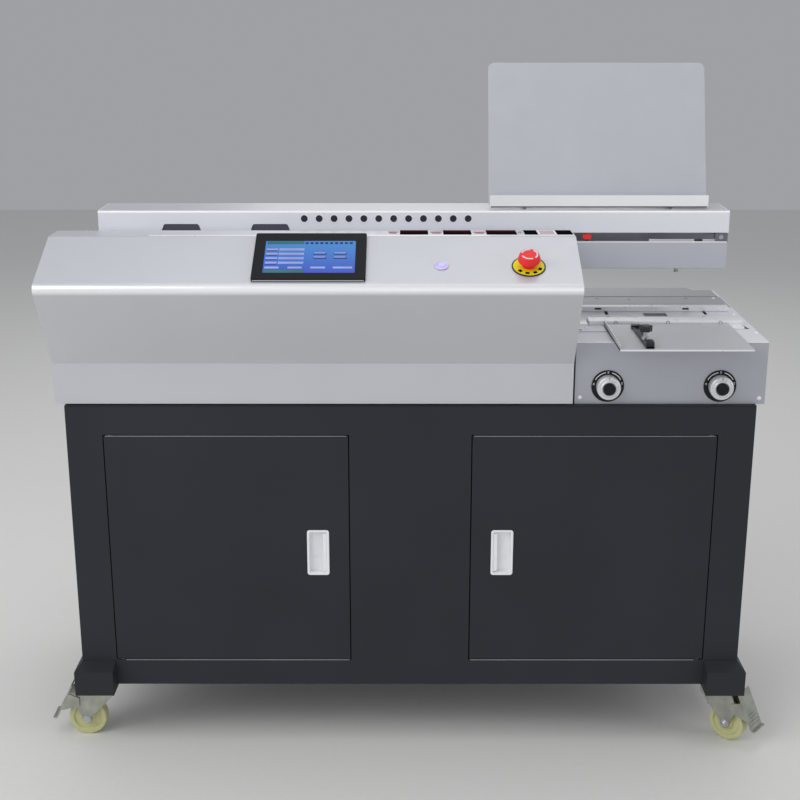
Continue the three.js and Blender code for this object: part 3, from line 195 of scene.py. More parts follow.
@dataclass(frozen=True)
class Nodes:
    """Adds shader nodes to one material."""

    material: bpy.types.Material

    @classmethod
    def start(cls, name: str) -> "Nodes":
        """Makes an empty node material.

        Args:
            name: the material's name.

        Returns:
            The wrapper round it.
        """
        material = bpy.data.materials.new(name)
        material.use_nodes = True
        return cls(material)

    @property
    def shader(self) -> bpy.types.ShaderNode:
        """The principled shader of the material."""
        return self.material.node_tree.nodes["Principled BSDF"]

    def add(self, kind: str, **values: object) -> bpy.types.ShaderNode:
        """Adds a node and sets its values.

        Args:
            kind: the node's type name without its ShaderNode prefix.
            **values: properties, or inputs by their names with spaces as underscores.

        Returns:
            The new node.
        """
        node = self.material.node_tree.nodes.new(f"ShaderNode{kind}")
        for key, value in values.items():
            if hasattr(node, key):
                setattr(node, key, value)
            else:
                node.inputs[key.replace("_", " ")].default_value = value
        return node

    def link(self, source: Socket, target: Socket) -> None:
        """Joins two sockets."""
        self.material.node_tree.links.new(source, target)

    def place(self, stretch: Point = (1.0, 1.0, 1.0)) -> Socket:
        """Object coordinates, stretched.

        Args:
            stretch: scale along X, Y and Z.

        Returns:
            The vector output.
        """
        coordinates = self.add("TexCoord")
        mapping = self.add("Mapping", Scale=stretch)
        self.link(coordinates.outputs["Object"], mapping.inputs["Vector"])
        return mapping.outputs["Vector"]

    def noise(self, vector: Socket, scale: float, detail: float = 3.0) -> Socket:
        """A noise pattern.

        Args:
            vector: the coordinates.
            scale: features per metre.
            detail: octaves.

        Returns:
            The noise factor.
        """
        pattern = self.add("TexNoise", Scale=scale, Detail=detail)
        self.link(vector, pattern.inputs["Vector"])
        return pattern.outputs["Fac"]

    def spread(self, factor: Socket, low: float, high: float,
               start: float = 0.3, end: float = 0.7) -> Socket:
        """Maps a factor to a range.

        Args:
            factor: the input factor.
            low: the result at start.
            high: the result at end.
            start: factor where the range begins.
            end: factor where it ends.

        Returns:
            The mapped value.
        """
        mapped = self.add("MapRange", From_Min=start, From_Max=end, To_Min=low, To_Max=high)
        self.link(factor, mapped.inputs["Value"])
        return mapped.outputs["Result"]

    def blend_colours(self, factor: Socket, first: Colour, second: Colour) -> Socket:
        """Mixes two colours by a factor.

        Args:
            factor: 0 gives the first colour and 1 the second.
            first: linear colour.
            second: linear colour.

        Returns:
            The mixed colour.
        """
        ramp = self.add("ValToRGB")
        ramp.color_ramp.elements[0].color = (*first, 1.0)
        ramp.color_ramp.elements[1].color = (*second, 1.0)
        self.link(factor, ramp.inputs["Fac"])
        return ramp.outputs["Color"]

    def tone(self, factor: Socket, colour: Colour, dark: float, light: float) -> Socket:
        """A colour that drifts between a dark and a light share of itself."""
        return self.blend_colours(self.spread(factor, 0.0, 1.0), shade(colour, dark), shade(colour, light))

    def height(self) -> Socket:
        """The height above the floor.

        Returns:
            The height in metres.
        """
        split = self.add("SeparateXYZ")
        self.link(self.place(), split.inputs["Vector"])
        return split.outputs["Z"]

    def overlay(self, colour: Socket, shares: tuple[Socket, Socket], over: Colour) -> Socket:
        """Lays one colour over another where two shares are both high.

        Args:
            colour: the colour below.
            shares: the two shares, from 0 to 1.
            over: the linear colour above.

        Returns:
            The mixed colour.
        """
        product = self.add("Math", operation="MULTIPLY")
        for share, factor in zip(shares, product.inputs):
            self.link(share, factor)
        mixed = self.add("Mix", data_type="RGBA")
        below, above, result = mixed.inputs[6], mixed.inputs[7], mixed.outputs[2]
        self.link(product.outputs["Value"], mixed.inputs["Factor"])
        self.link(colour, below)
        above.default_value = (*over, 1.0)
        return result

    def drive(self, **sources: Socket) -> None:
        """Links patterns into the shader's sockets, named with underscores for spaces."""
        for key, source in sources.items():
            self.link(source, self.shader.inputs[key.replace("_", " ")])

    def relief(self, height: Socket, depth: float, strength: float = 1.0,
               edge: float = 0.0) -> None:
        """Raises the surface by a height pattern and rounds its edges.

        Args:
            height: the pattern.
            depth: its depth in metres.
            strength: share of the full bump.
            edge: radius in metres by which sharp edges are rounded, or 0.
        """
        bump = self.add("Bump", Distance=depth, Strength=strength)
        self.link(height, bump.inputs["Height"])
        if edge:
            rounding = self.add("Bevel", samples=4, Radius=edge)
            self.link(rounding.outputs["Normal"], bump.inputs["Normal"])
        self.link(bump.outputs["Normal"], self.shader.inputs["Normal"])

    def constants(self, **values: object) -> None:
        """Sets the shader's own sockets, named with underscores for spaces."""
        for key, value in values.items():
            self.shader.inputs[key.replace("_", " ")].default_value = value


def shade(colour: Colour, factor: float) -> Colour:
    """A colour made lighter or darker."""
    return tuple(min(1.0, channel * factor) for channel in colour)


@dataclass(frozen=True)
class PowderCoat:
    """Paint baked on sheet metal, with a fine orange peel, a slight drift in tone and, where a band is given, a
    painted highlight.
    """

    colour: Colour
    roughness: float = 0.45
    metallic: float = 0.0
    peel: float = 1.0
    drift: float = 0.03
    dust_height: float = 0.0
    coat: float = 0.0
    shine: float = 0.5
    edge: float = 0.0006
    bright_band: tuple[float, ...] = ()
    burnished: Colour = (0.97, 0.975, 0.98)
    dust: Colour = (0.35, 0.33, 0.30)
    dust_share: float = 0.22

    def make(self, name: str) -> bpy.types.Material:
        """Builds the material.

        Args:
            name: the material's name.

        Returns:
            The paint.
        """
        nodes = Nodes.start(name)
        vector = nodes.place()
        cloud = nodes.noise(vector, 4.0, 2.0)
        colour = nodes.tone(cloud, self.colour, 1 - self.drift, 1 + self.drift)
        if self.dust_height:
            colour = self.settle_dust(nodes, colour)
        if self.bright_band:
            colour = self.burnish_band(nodes, colour)
        rough = nodes.spread(nodes.noise(vector, 30.0), self.roughness - 0.04, self.roughness + 0.04)
        nodes.drive(Base_Color=colour, Roughness=rough)
        nodes.relief(nodes.noise(vector, 900.0, 2.0), 0.00012 * self.peel, 0.5, self.edge)
        nodes.constants(Metallic=self.metallic, Coat_Weight=self.coat, Coat_Roughness=0.25,
                        Specular_IOR_Level=self.shine)
        return nodes.material

    def burnish_band(self, nodes: Nodes, colour: Socket) -> Socket:
        """Lightens the paint where it is stretched and polished over a bend.

        Args:
            nodes: the material's nodes.
            colour: the plain colour.

        Returns:
            The colour with its painted highlight band between the four heights of the finish.
        """
        foot, low, high, top = self.bright_band
        height = nodes.height()
        shares = nodes.spread(height, 0.0, 1.0, foot, low), nodes.spread(height, 1.0, 0.0, high, top)
        return nodes.overlay(colour, shares, self.burnished)

    def settle_dust(self, nodes: Nodes, colour: Socket) -> Socket:
        """Lightens the paint towards the floor, in patches.

        Args:
            nodes: the material's nodes.
            colour: the clean colour.

        Returns:
            The dusty colour.
        """
        low = nodes.spread(nodes.height(), self.dust_share, 0.0, 0.0, self.dust_height)
        return nodes.overlay(colour, (low, nodes.noise(nodes.place(), 14.0, 5.0)), self.dust)


@dataclass(frozen=True)
class WorkedMetal:
    """Bare metal with the marks of grinding, turning or casting along one direction."""

    colour: Colour
    roughness: float = 0.3
    grain: Point = (1.0, 1.0, 1.0)
    grain_scale: float = 400.0
    depth: float = 0.00004
    mottle: float = 0.08
    edge: float = 0.0004

    def make(self, name: str) -> bpy.types.Material:
        """Builds the material.

        Args:
            name: the material's name.

        Returns:
            The metal.
        """
        nodes = Nodes.start(name)
        marks = nodes.noise(nodes.place(self.grain), self.grain_scale, 4.0)
        cloud = nodes.noise(nodes.place(), 45.0, 4.0)
        nodes.drive(Base_Color=nodes.tone(cloud, self.colour, 1 - self.mottle, 1 + self.mottle),
                    Roughness=nodes.spread(marks, self.roughness - 0.07, self.roughness + 0.09))
        nodes.relief(marks, self.depth, 0.6, self.edge)
        nodes.constants(Metallic=1.0)
        return nodes.material


@dataclass(frozen=True)
class Moulding:
    """Moulded plastic with a fine spark-eroded skin."""

    colour: Colour
    roughness: float = 0.4
    skin: float = 1.0
    drift: float = 0.02
    subsurface: float = 0.0
    shine: float = 0.5
    edge: float = 0.0003

    def make(self, name: str) -> bpy.types.Material:
        """Builds the material.

        Args:
            name: the material's name.

        Returns:
            The plastic.
        """
        nodes = Nodes.start(name)
        vector = nodes.place()
        cloud = nodes.noise(vector, 60.0)
        nodes.drive(Base_Color=nodes.tone(cloud, self.colour, 1 - self.drift, 1 + self.drift),
                    Roughness=nodes.spread(cloud, self.roughness - 0.04, self.roughness + 0.05))
        nodes.relief(nodes.noise(vector, 2500.0, 1.0), 0.00004 * self.skin, 0.4, self.edge)
        nodes.constants(Subsurface_Weight=self.subsurface, Subsurface_Scale=0.004, Specular_IOR_Level=self.shine)
        return nodes.material


@dataclass(frozen=True)
class Glow:
    """A lit face behind clear plastic, its glow drifting a little in tone."""

    colour: Colour
    glow: Colour
    strength: float = 1.0
    roughness: float = 0.2
    upper: Colour | None = None
    rise: Flat = (0.958, 0.996)

    def make(self, name: str) -> bpy.types.Material:
        """Builds the material, with another glow towards the top where one is given.

        Args:
            name: the material's name.

        Returns:
            The lit plastic.
        """
        nodes = Nodes.start(name)
        cloud = nodes.noise(nodes.place(), 12.0, 2.0)
        lit = nodes.tone(cloud, self.glow, 0.8, 1.15)
        if self.upper:
            lit = nodes.blend_colours(nodes.spread(nodes.height(), 0.0, 1.0, *self.rise), self.glow, self.upper)
        nodes.drive(Emission_Color=lit, Base_Color=nodes.tone(cloud, self.colour, 0.92, 1.08))
        nodes.constants(Emission_Strength=self.strength, Roughness=self.roughness, Coat_Weight=0.08,
                        Coat_Roughness=0.2, Specular_IOR_Level=0.2)
        return nodes.material


@dataclass(frozen=True)
class Bench:
    """A place where pieces are modelled in their own coordinates, then set down on the machine.

    Attributes:
        seat: turns the bench's coordinates into the machine's, in metres.
    """

    seat: Matrix = field(default_factory=lambda: Matrix.Identity(4))

    @classmethod
    def at(cls, place: Point, turn_x: float = 0.0, turn_z: float = 0.0) -> "Bench":
        """A bench at a place on the machine.

        Args:
            place: its origin, from the middle of the cabinet's front edge.
            turn_x: its lean about X in degrees, made first.
            turn_z: its turn about Z in degrees.

        Returns:
            The bench.
        """
        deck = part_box("cabinet_deck")
        datum = Vector(((deck[0][0] + deck[1][0]) / 2, deck[0][1], 0.0))
        spin = Matrix.Rotation(math.radians(turn_z), 4, "Z") @ Matrix.Rotation(math.radians(turn_x), 4, "X")
        return cls(Matrix.Translation(datum + Vector(place) * MM) @ spin)

    @staticmethod
    def clear() -> None:
        """Deselects every object."""
        bpy.ops.object.select_all(action="DESELECT")

    @staticmethod
    def pick(*pieces: Piece) -> None:
        """Selects these pieces alone, the last one active."""
        Bench.clear()
        for piece in pieces:
            piece.select_set(True)
        bpy.context.view_layer.objects.active = pieces[-1]

    @staticmethod
    def discard(piece: Piece) -> None:
        """Throws a piece away."""
        bpy.data.objects.remove(piece, do_unlink=True)

    @staticmethod
    def rename_new(name: str) -> Piece:
        """Names the piece that was just made, and returns it."""
        bpy.context.active_object.name = name
        return bpy.context.active_object

    @staticmethod
    def bake() -> None:
        """Writes the selected pieces' places, turns and sizes into their meshes."""
        bpy.ops.object.transform_apply(location=True, rotation=True, scale=True)

    @staticmethod
    @contextmanager
    def editing() -> Iterator[None]:
        """Edit mode for the time of a with block, entered with the whole mesh selected.

        Yields:
            Nothing.
        """
        bpy.ops.object.mode_set(mode="EDIT")
        bpy.ops.mesh.select_all(action="SELECT")
        yield
        bpy.ops.object.mode_set(mode="OBJECT")

    @staticmethod
    def weld(threshold: float = 0.00002) -> None:
        """Merges the doubles of the whole mesh, in edit mode, up to a distance in metres."""
        bpy.ops.mesh.select_all(action="SELECT")
        bpy.ops.mesh.remove_doubles(threshold=threshold)

    @staticmethod
    def pick_edges(piece: Piece, test: Test) -> None:
        """Selects the edges that pass a test, in edit mode.

        Args:
            piece: the piece in edit mode.
            test: gets an edge's middle in millimetres and its direction.
        """
        bpy.ops.mesh.select_mode(type="EDGE")
        bpy.ops.mesh.select_all(action="DESELECT")
        mesh = bmesh.from_edit_mesh(piece.data)
        for edge in mesh.edges:
            first, second = (v.co for v in edge.verts)
            if test((first + second) / 2 / MM, (second - first).normalized()):
                edge.select_set(True)
        mesh.select_flush_mode()
        bmesh.update_edit_mesh(piece.data)

    @staticmethod
    def modify(piece: Piece, kind: str, **values: object) -> Piece:
        """Adds a modifier with its values and applies it.

        Args:
            piece: the piece.
            kind: the modifier's type.
            **values: its settings.

        Returns:
            The piece.
        """
        Bench.pick(piece)
        modifier = piece.modifiers.new(kind.title(), kind)
        for key, value in values.items():
            setattr(modifier, key, value)
        bpy.ops.object.modifier_apply(modifier=modifier.name)
        return piece

    @staticmethod
    def round_edges(piece: Piece, radius: float, segments: int = 2,
                    angle: float = 35.0) -> Piece:
        """Rounds the piece's sharp edges.

        Args:
            piece: the piece.
            radius: edge radius.
            segments: faces across each rounded edge.
            angle: the least angle in degrees that counts as sharp.

        Returns:
            The piece.
        """
        return Bench.modify(piece, "BEVEL", width=radius * MM, segments=segments, limit_method="ANGLE",
                            angle_limit=math.radians(angle), harden_normals=False, use_clamp_overlap=True)

    def block(self, name: str, x: Flat, y: Flat, z: Flat, radius: float = 0.0,
              segments: int = 2) -> Piece:
        """A block between limits, its edges rounded.

        Args:
            name: the piece's name.
            x: its limits along X.
            y: its limits along Y.
            z: its limits along Z.
            radius: edge radius, or 0 where it is cut or rounded later.
            segments: faces across each rounded edge.

        Returns:
            The block.
        """
        self.clear()
        middle = [(low + high) / 2 * MM for low, high in (x, y, z)]
        size = [(high - low) * MM for low, high in (x, y, z)]
        bpy.ops.mesh.primitive_cube_add(size=1.0, location=middle, scale=size)
        piece = self.rename_new(name)
        self.bake()
        return self.round_edges(piece, radius, segments) if radius else piece

    def trace(self, name: str, points: list[Vector], closed: bool) -> Piece:
        """A chain of edges, drawn by extruding one vertex from point to point.

        Args:
            name: the piece's name.
            points: the points in millimetres.
            closed: whether the chain ends in its start and is filled with a face.

        Returns:
            The piece.
        """
        self.clear()
        bpy.ops.mesh.primitive_plane_add(size=MM)
        piece = self.rename_new(name)
        with self.editing():
            bpy.ops.mesh.select_mode(type="VERT")
            bpy.ops.mesh.select_all(action="SELECT")
            bpy.ops.mesh.merge(type="CENTER")
            bpy.ops.transform.translate(value=points[0] * MM)
            for before, after in zip(points, points[1:]):
                bpy.ops.mesh.extrude_region_move(TRANSFORM_OT_translate={"value": (after - before) * MM})
            if closed:
                bpy.ops.mesh.select_all(action="SELECT")
                bpy.ops.mesh.edge_face_add()
        return piece

    def prism(self, name: str, outline: list[Flat], limits: Flat, axis: Axis = Axis.X, radius: float = 0.0,
              segments: int = 2, angle: float = 35.0) -> Piece:
        """A filled outline pulled along an axis, its edges rounded.

        Args:
            name: the piece's name.
            outline: the outline across the axis.
            limits: where it starts and ends along the axis.
            axis: the axis.
            radius: edge radius, or 0 where it is rounded later.
            segments: faces across each rounded edge.
            angle: the least angle in degrees that is rounded.

        Returns:
            The prism.
        """
        piece = self.trace(name, [axis.lift(p, limits[0]) for p in outline], True)
        pull = axis.unit * ((limits[1] - limits[0]) * MM)
        with self.editing():
            bpy.ops.mesh.extrude_region_move(TRANSFORM_OT_translate={"value": pull})
            self.weld()
            bpy.ops.mesh.normals_make_consistent(inside=False)
        return self.round_edges(piece, radius, segments, angle) if radius else piece

    def turned(self, name: str, profile: list[Flat], centre: Flat = (0.0, 0.0), axis: Axis = Axis.Z,
               steps: int = 48) -> Piece:
        """A piece turned round an axis.

        Args:
            name: the piece's name.
            profile: radius and place along the axis, from one pole or rim to the other.
            centre: where the axis crosses the other two coordinates.
            axis: the axis.
            steps: faces round it.

        Returns:
            The turned piece.
        """
        points = [axis.lift((centre[0] + r, centre[1]), along) for r, along in profile]
        piece = self.trace(name, points, False)
        with self.editing():
            bpy.ops.mesh.spin(steps=steps, angle=math.tau, center=axis.lift(centre, 0.0) * MM, axis=axis.unit)
            self.weld()
            bpy.ops.mesh.select_mode(type="EDGE")
            bpy.ops.mesh.select_all(action="DESELECT")
            bpy.ops.mesh.select_non_manifold(extend=False, use_wire=False, use_multi_face=False,
                                             use_non_contiguous=False, use_verts=False)
            bpy.ops.mesh.edge_face_add()
            self.weld()
            bpy.ops.mesh.normals_make_consistent(inside=False)
        return piece

    def bar(self, name: str, radius: float, limits: Flat, centre: Flat = (0.0, 0.0), axis: Axis = Axis.Z,
            edge: float = 0.4, steps: int = 32) -> Piece:
        """A round bar with its ends chamfered.

        Args:
            name: the piece's name.
            radius: the bar's radius.
            limits: where it starts and ends.
            centre: where its axis crosses the other two coordinates.
            axis: the axis.
            edge: chamfer at each end.
            steps: faces round it.

        Returns:
            The bar.
        """
        low, high = limits
        profile = [(0.0, low), (radius - edge, low), (radius, low + edge), (radius, high - edge),
                   (radius - edge, high), (0.0, high)]
        return self.turned(name, profile, centre, axis, steps)

    def cut(self, piece: Piece, *tools: Piece) -> Piece:
        """Cuts tools out of a piece and throws them away.

        Args:
            piece: the piece.
            *tools: what is cut out.

        Returns:
            The piece.
        """
        tool = self.join(*tools)
        self.modify(piece, "BOOLEAN", operation="DIFFERENCE", solver="EXACT", object=tool)
        self.discard(tool)
        return piece

    def bring(self, piece: Piece, bench: "Bench") -> Piece:
        """Takes a piece from another bench to the same place on this one.

        Args:
            piece: a piece modelled on the other bench.
            bench: the other bench.

        Returns:
            The piece.
        """
        self.pick(piece)
        piece.matrix_world = self.seat.inverted() @ bench.seat
        self.bake()
        return piece

    def reworked(self, node: str, name: str, radius: float, segments: int = 2,
                 angle: float = 35.0) -> Piece:
        """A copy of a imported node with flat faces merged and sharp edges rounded.

        Args:
            node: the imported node.
            name: the copy's name.
            radius: edge radius.
            segments: faces across each rounded edge.
            angle: the least angle in degrees that is rounded.

        Returns:
            The copy, in this bench's coordinates.
        """
        self.pick(frame["nodes"][node])
        bpy.ops.object.duplicate(linked=False)
        piece = self.rename_new(name)
        for key in list(piece.keys()):
            del piece[key]
        piece.parent = None
        piece.data.materials.clear()
        with self.editing():
            self.weld(0.00001)
            bpy.ops.mesh.dissolve_limited(angle_limit=math.radians(0.6))
            bpy.ops.mesh.normals_make_consistent(inside=False)
        self.round_edges(piece, radius, segments, angle)
        return self.bring(piece, Bench())

    def join(self, *pieces: Piece) -> Piece:
        """Joins pieces into the first one.

        Args:
            *pieces: the pieces.

        Returns:
            The joined piece.
        """
        if len(pieces) > 1:
            self.pick(*reversed(pieces))
            bpy.ops.object.join()
        return pieces[0]

    def copy(self, piece: Piece, name: str, move: Point = (0.0, 0.0, 0.0), turn: float = 0.0,
             axis: Axis = Axis.Z, about: Point = (0.0, 0.0, 0.0)) -> Piece:
        """A copy with its own mesh, turned or moved.

        Args:
            piece: the piece.
            name: the copy's name.
            move: how far the copy goes.
            turn: degrees round the axis.
            axis: the axis of the turn.
            about: a point on the axis.

        Returns:
            The copy.
        """
        self.pick(piece)
        bpy.ops.object.duplicate(linked=False)
        twin = self.rename_new(name)
        pivot = Vector(about) * MM
        change = Matrix.Rotation(math.radians(turn), 4, axis.name)
        twin.matrix_world = Matrix.Translation(Vector(move) * MM + pivot) @ change @ Matrix.Translation(-pivot)
        self.bake()
        return twin

    def row(self, first: Piece, name: str, pitch: float, count: int) -> list[Piece]:
        """A piece and its copies along X at one pitch.

        Args:
            first: the first piece.
            name: the start of the copies' names.
            pitch: the distance between two of them.
            count: how many there are, the first included.

        Returns:
            All of them.
        """
        return [first] + [self.copy(first, f"{name}_{i}", (i * pitch, 0.0, 0.0)) for i in range(1, count)]

    def finish(self, piece: Piece, surface: "Finish", body: str, replaces: tuple[str, ...] = (),
               smooth: float = 30.0) -> Piece:
        """Sets a finished piece down on the machine and gives it its finish and its body.

        Args:
            piece: the piece.
            surface: its finish.
            body: the body that carries it.
            replaces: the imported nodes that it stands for.
            smooth: the angle in degrees below which faces shade as one.

        Returns:
            The piece.
        """
        self.pick(piece)
        bpy.ops.object.shade_smooth_by_angle(angle=math.radians(smooth), keep_sharp_edges=False)
        piece.matrix_world = self.seat
        self.bake()
        self.modify(piece, "WEIGHTED_NORMAL", keep_sharp=True, weight=60)
        if not piece.data.materials:
            piece.data.materials.append(surface.material)
        else:
            piece.data.materials[0] = surface.material
        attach(piece, body)
        if replaces:
            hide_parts(*replaces)
        LOG.info("%s: %d faces on %s", piece.name, len(piece.data.polygons), body)
        return piece

    def group(self, name: str, pieces: list[Piece], surface: "Finish", body: str,
              replaces: tuple[str, ...] = (), smooth: float = 30.0) -> Piece:
        """Joins pieces under one name and sets them down.

        Args:
            name: the joined piece's name.
            pieces: the pieces.
            surface: their finish.
            body: the body that carries them.
            replaces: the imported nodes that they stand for.
            smooth: the angle in degrees below which faces shade as one.

        Returns:
            The joined piece.
        """
        joined = self.join(*pieces)
        joined.name = name
        return self.finish(joined, surface, body, replaces, smooth)

    def screws(self, name: str, places: list[Point], axis: Axis, out: float, radius: float,
               surface: "Finish", body: str, height: float = 1.6) -> Piece:
        """Socket button screws, modelled once and copied.

        Args:
            name: the piece's name.
            places: the middle of each head where it meets the sheet.
            axis: the axis that the heads stand along.
            out: 1 or -1, the way that they stand out.
            radius: head radius.
            surface: their finish.
            body: the body that carries them.
            height: head height.

        Returns:
            One piece with all the heads.
        """
        dome = [(radius * x, out * height * y / 0.89) for x, y in arc((0.0, 0.0), 1.0, 0.0, 62.0, 5)]
        socket = [(radius * 0.45, out * height), (radius * 0.38, out * 0.5 * height), (0.0, out * 0.45 * height)]
        first = self.turned(f"{name}_head", [(radius, out * -0.3)] + dome + socket, (0.0, 0.0), axis, 18)
        heads = [self.copy(first, f"{name}_{i}", place) for i, place in enumerate(places)]
        self.discard(first)
        return self.group(name, heads, surface, body, (), 40.0)


class Finish(Enum):
    """The machine's finishes."""

    SILVER_PAINT = PowderCoat((0.60, 0.615, 0.65), 0.34, 0.25, 0.8, 0.02, coat=0.25)
    # Painted highlight: the paint turns lighter over the nose bend, where the light catches it.
    COVER_PAINT = PowderCoat((0.60, 0.615, 0.65), 0.32, 0.25, 0.8, 0.02, coat=0.3,
                             bright_band=(0.9250, 0.9345, 0.9410, 0.9460))
    BED_TOP_PAINT = PowderCoat((0.78, 0.79, 0.83), 0.46, 0.15, 0.8, 0.03, coat=0.05)
    # Painted shade: darker paint for the bed's rear parts, so the bed turns darker towards the back.
    REAR_PAINT = PowderCoat((0.37, 0.38, 0.395), 0.46, 0.15, 0.8, 0.03, coat=0.05)
    JAW_PAINT = PowderCoat((0.53, 0.545, 0.60), 0.36, 0.3, 0.8, 0.03, coat=0.2)
    TRAY_PAINT = PowderCoat((0.56, 0.57, 0.59), 0.38, 0.25, 0.8, 0.03, coat=0.2)
    SHADED_PAINT = PowderCoat((0.16, 0.165, 0.18), 0.45, 0.2, 0.8, 0.03)
    # Pale print on the count label, and a painted highlight on the book rest's lip.
    LIP_PAINT = PowderCoat((0.93, 0.935, 0.95), 0.36, 0.1, 0.8, 0.02, coat=0.2)
    # Pale alloy for the nip plates, rims, rails and screws, also used for painted highlights on edges.
    PALE_ALLOY = PowderCoat((0.90, 0.905, 0.93), 0.3, 0.15, 0.6, 0.02, coat=0.3)
    DIAL_SILVER = PowderCoat((0.74, 0.745, 0.76), 0.26, 0.35, 0.5, 0.02, coat=0.4)
    # Painted highlight: light strips along the doorway sills and the door tops.
    WORN_EDGE = PowderCoat((0.34, 0.34, 0.35), 0.4, 0.1, 0.8, 0.2)
    STOP_STEEL = WorkedMetal((0.045, 0.045, 0.05), 0.36, (1.0, 0.1, 1.0), 500.0, 0.00003, 0.15)
    # Painted highlight: the paint turns lighter over the bend at the beam's top front edge.
    BEAM_PAINT = PowderCoat((0.84, 0.855, 0.91), 0.5, 0.15, 0.8, 0.02, coat=0.05,
                            bright_band=(1.0288, 1.0308, 1.0334, 1.0345))
    BED_PAINT = PowderCoat((0.44, 0.455, 0.50), 0.36, 0.3, 0.8, 0.03, coat=0.2)
    BOARD_PAINT = PowderCoat((0.60, 0.61, 0.66), 0.4, 0.3, 0.8, 0.02, coat=0.15)
    SLATE_PAINT = PowderCoat((0.0345, 0.0370, 0.0445), 0.5, 0.0, 1.4, 0.06, 0.1, shine=0.1)
    BRACKET_PAINT = PowderCoat((0.0335, 0.0345, 0.0385), 0.46, 0.0, 1.2, 0.06, 0.1, shine=0.12)
    WHITE_PLASTIC = Moulding((0.93, 0.935, 0.955), 0.3, subsurface=0.05)
    ZINC_STEEL = WorkedMetal((0.45, 0.46, 0.41), 0.34, (1.0, 1.0, 1.0), 260.0, 0.00005, 0.16)
    CREAM_NYLON = Moulding((0.58, 0.58, 0.30), 0.42, 1.2, 0.04, 0.1)
    BLUE_BLACK = PowderCoat((0.010, 0.014, 0.028), 0.5)
    # Painted shade: the dark sheets in the beam's windows.
    SHUTTER_PAINT = PowderCoat((0.090, 0.092, 0.125), 0.4, 0.1, 0.8, 0.05, shine=0.3)
    BLACK_PLASTIC = Moulding((0.018, 0.018, 0.020), 0.38)
    PANEL_PLASTIC = Moulding((0.0105, 0.0115, 0.013), 0.45, shine=0.12)
    SIGNAL_RED = Moulding((0.93, 0.034, 0.038), 0.34, shine=0.25)
    SIGNAL_YELLOW = Moulding((0.86, 0.78, 0.016), 0.45, shine=0.2)
    SCREEN_GLASS = Glow((0.012, 0.03, 0.09), (0.024, 0.040, 0.42), 1.0,
                        upper=(0.045, 0.20, 0.50))
    DIAL_BLACK = Moulding((0.007, 0.007, 0.011), 0.3, shine=0.25)
    VIOLET_GLOW = Glow((0.20, 0.12, 0.55), (0.35, 0.25, 1.0), 1.2)
    GROUND_STEEL = WorkedMetal((0.58, 0.59, 0.61), 0.24, (0.03, 1.0, 1.0), 700.0)
    SATIN_STEEL = WorkedMetal((0.60, 0.61, 0.64), 0.36, (0.04, 1.0, 1.0), 900.0, 0.00003, 0.04)
    CAST_ALLOY = WorkedMetal((0.46, 0.46, 0.47), 0.5, (1.0, 1.0, 1.0), 600.0, 0.00012, 0.1)
    DARK_STEEL = WorkedMetal((0.10, 0.10, 0.11), 0.4, (1.0, 1.0, 1.0), 300.0, 0.00004, 0.15)
    BIN_PLASTIC = Moulding((0.09, 0.095, 0.10), 0.5, 1.5)
    SET_GLUE = Moulding((0.62, 0.52, 0.30), 0.22, 2.0, 0.1, 0.3)
    WHITE_PRINT = Moulding((0.72, 0.73, 0.74), 0.5, 0.4)
    LABEL_BLACK = Moulding((0.005, 0.005, 0.006), 0.6, 0.4, shine=0.0)
    SCREEN_LIGHT = Glow((0.10, 0.12, 0.16), (0.23, 0.27, 0.62), 1.0)
    SCREEN_TEAL = Glow((0.02, 0.05, 0.05), (0.012, 0.10, 0.14), 1.0)
    SCREEN_NAVY = Glow((0.01, 0.01, 0.03), (0.006, 0.012, 0.085), 1.0)
    # Painted light: a lavender tint on the metal for the halo's violet light falling on it.
    LAVENDER_ALLOY = PowderCoat((0.66, 0.63, 0.90), 0.3, 0.2, 0.5, 0.02, coat=0.2)
    LABEL_ROSE = Moulding((0.34, 0.07, 0.10), 0.6, 0.4, shine=0.0)
    LABEL_RED = Moulding((0.065, 0.004, 0.009), 0.6, 0.4, shine=0.0)

    @property
    def material(self) -> bpy.types.Material:
        """The finish as a material, built when it is first wanted."""
        name = f"{self.name.lower()}_surface"
        return bpy.data.materials.get(name) or self.value.make(name)


@dataclass
class CarriedNodes:
    """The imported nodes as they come."""

    def dress(self) -> None:
        """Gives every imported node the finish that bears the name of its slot."""
        wanted = {row["node"]: row["material_slot"] for row in frame["record"]["subparts"]}
        for name, piece in frame["nodes"].items():
            surface, slots = Finish[wanted[name].upper()].material, piece.data.materials
            for i in range(len(slots)):
                slots[i] = surface
            if not len(slots):
                slots.append(surface)
        LOG.info("carried nodes: %d dressed", len(wanted))


@dataclass
class Assembly:
    """A part of the machine, with the bench that it is modelled on."""

    @property
    def bench(self) -> Bench:
        """The bench at the middle of the cabinet's front edge, on the floor."""
        return Bench.at((0.0, 0.0, 0.0))


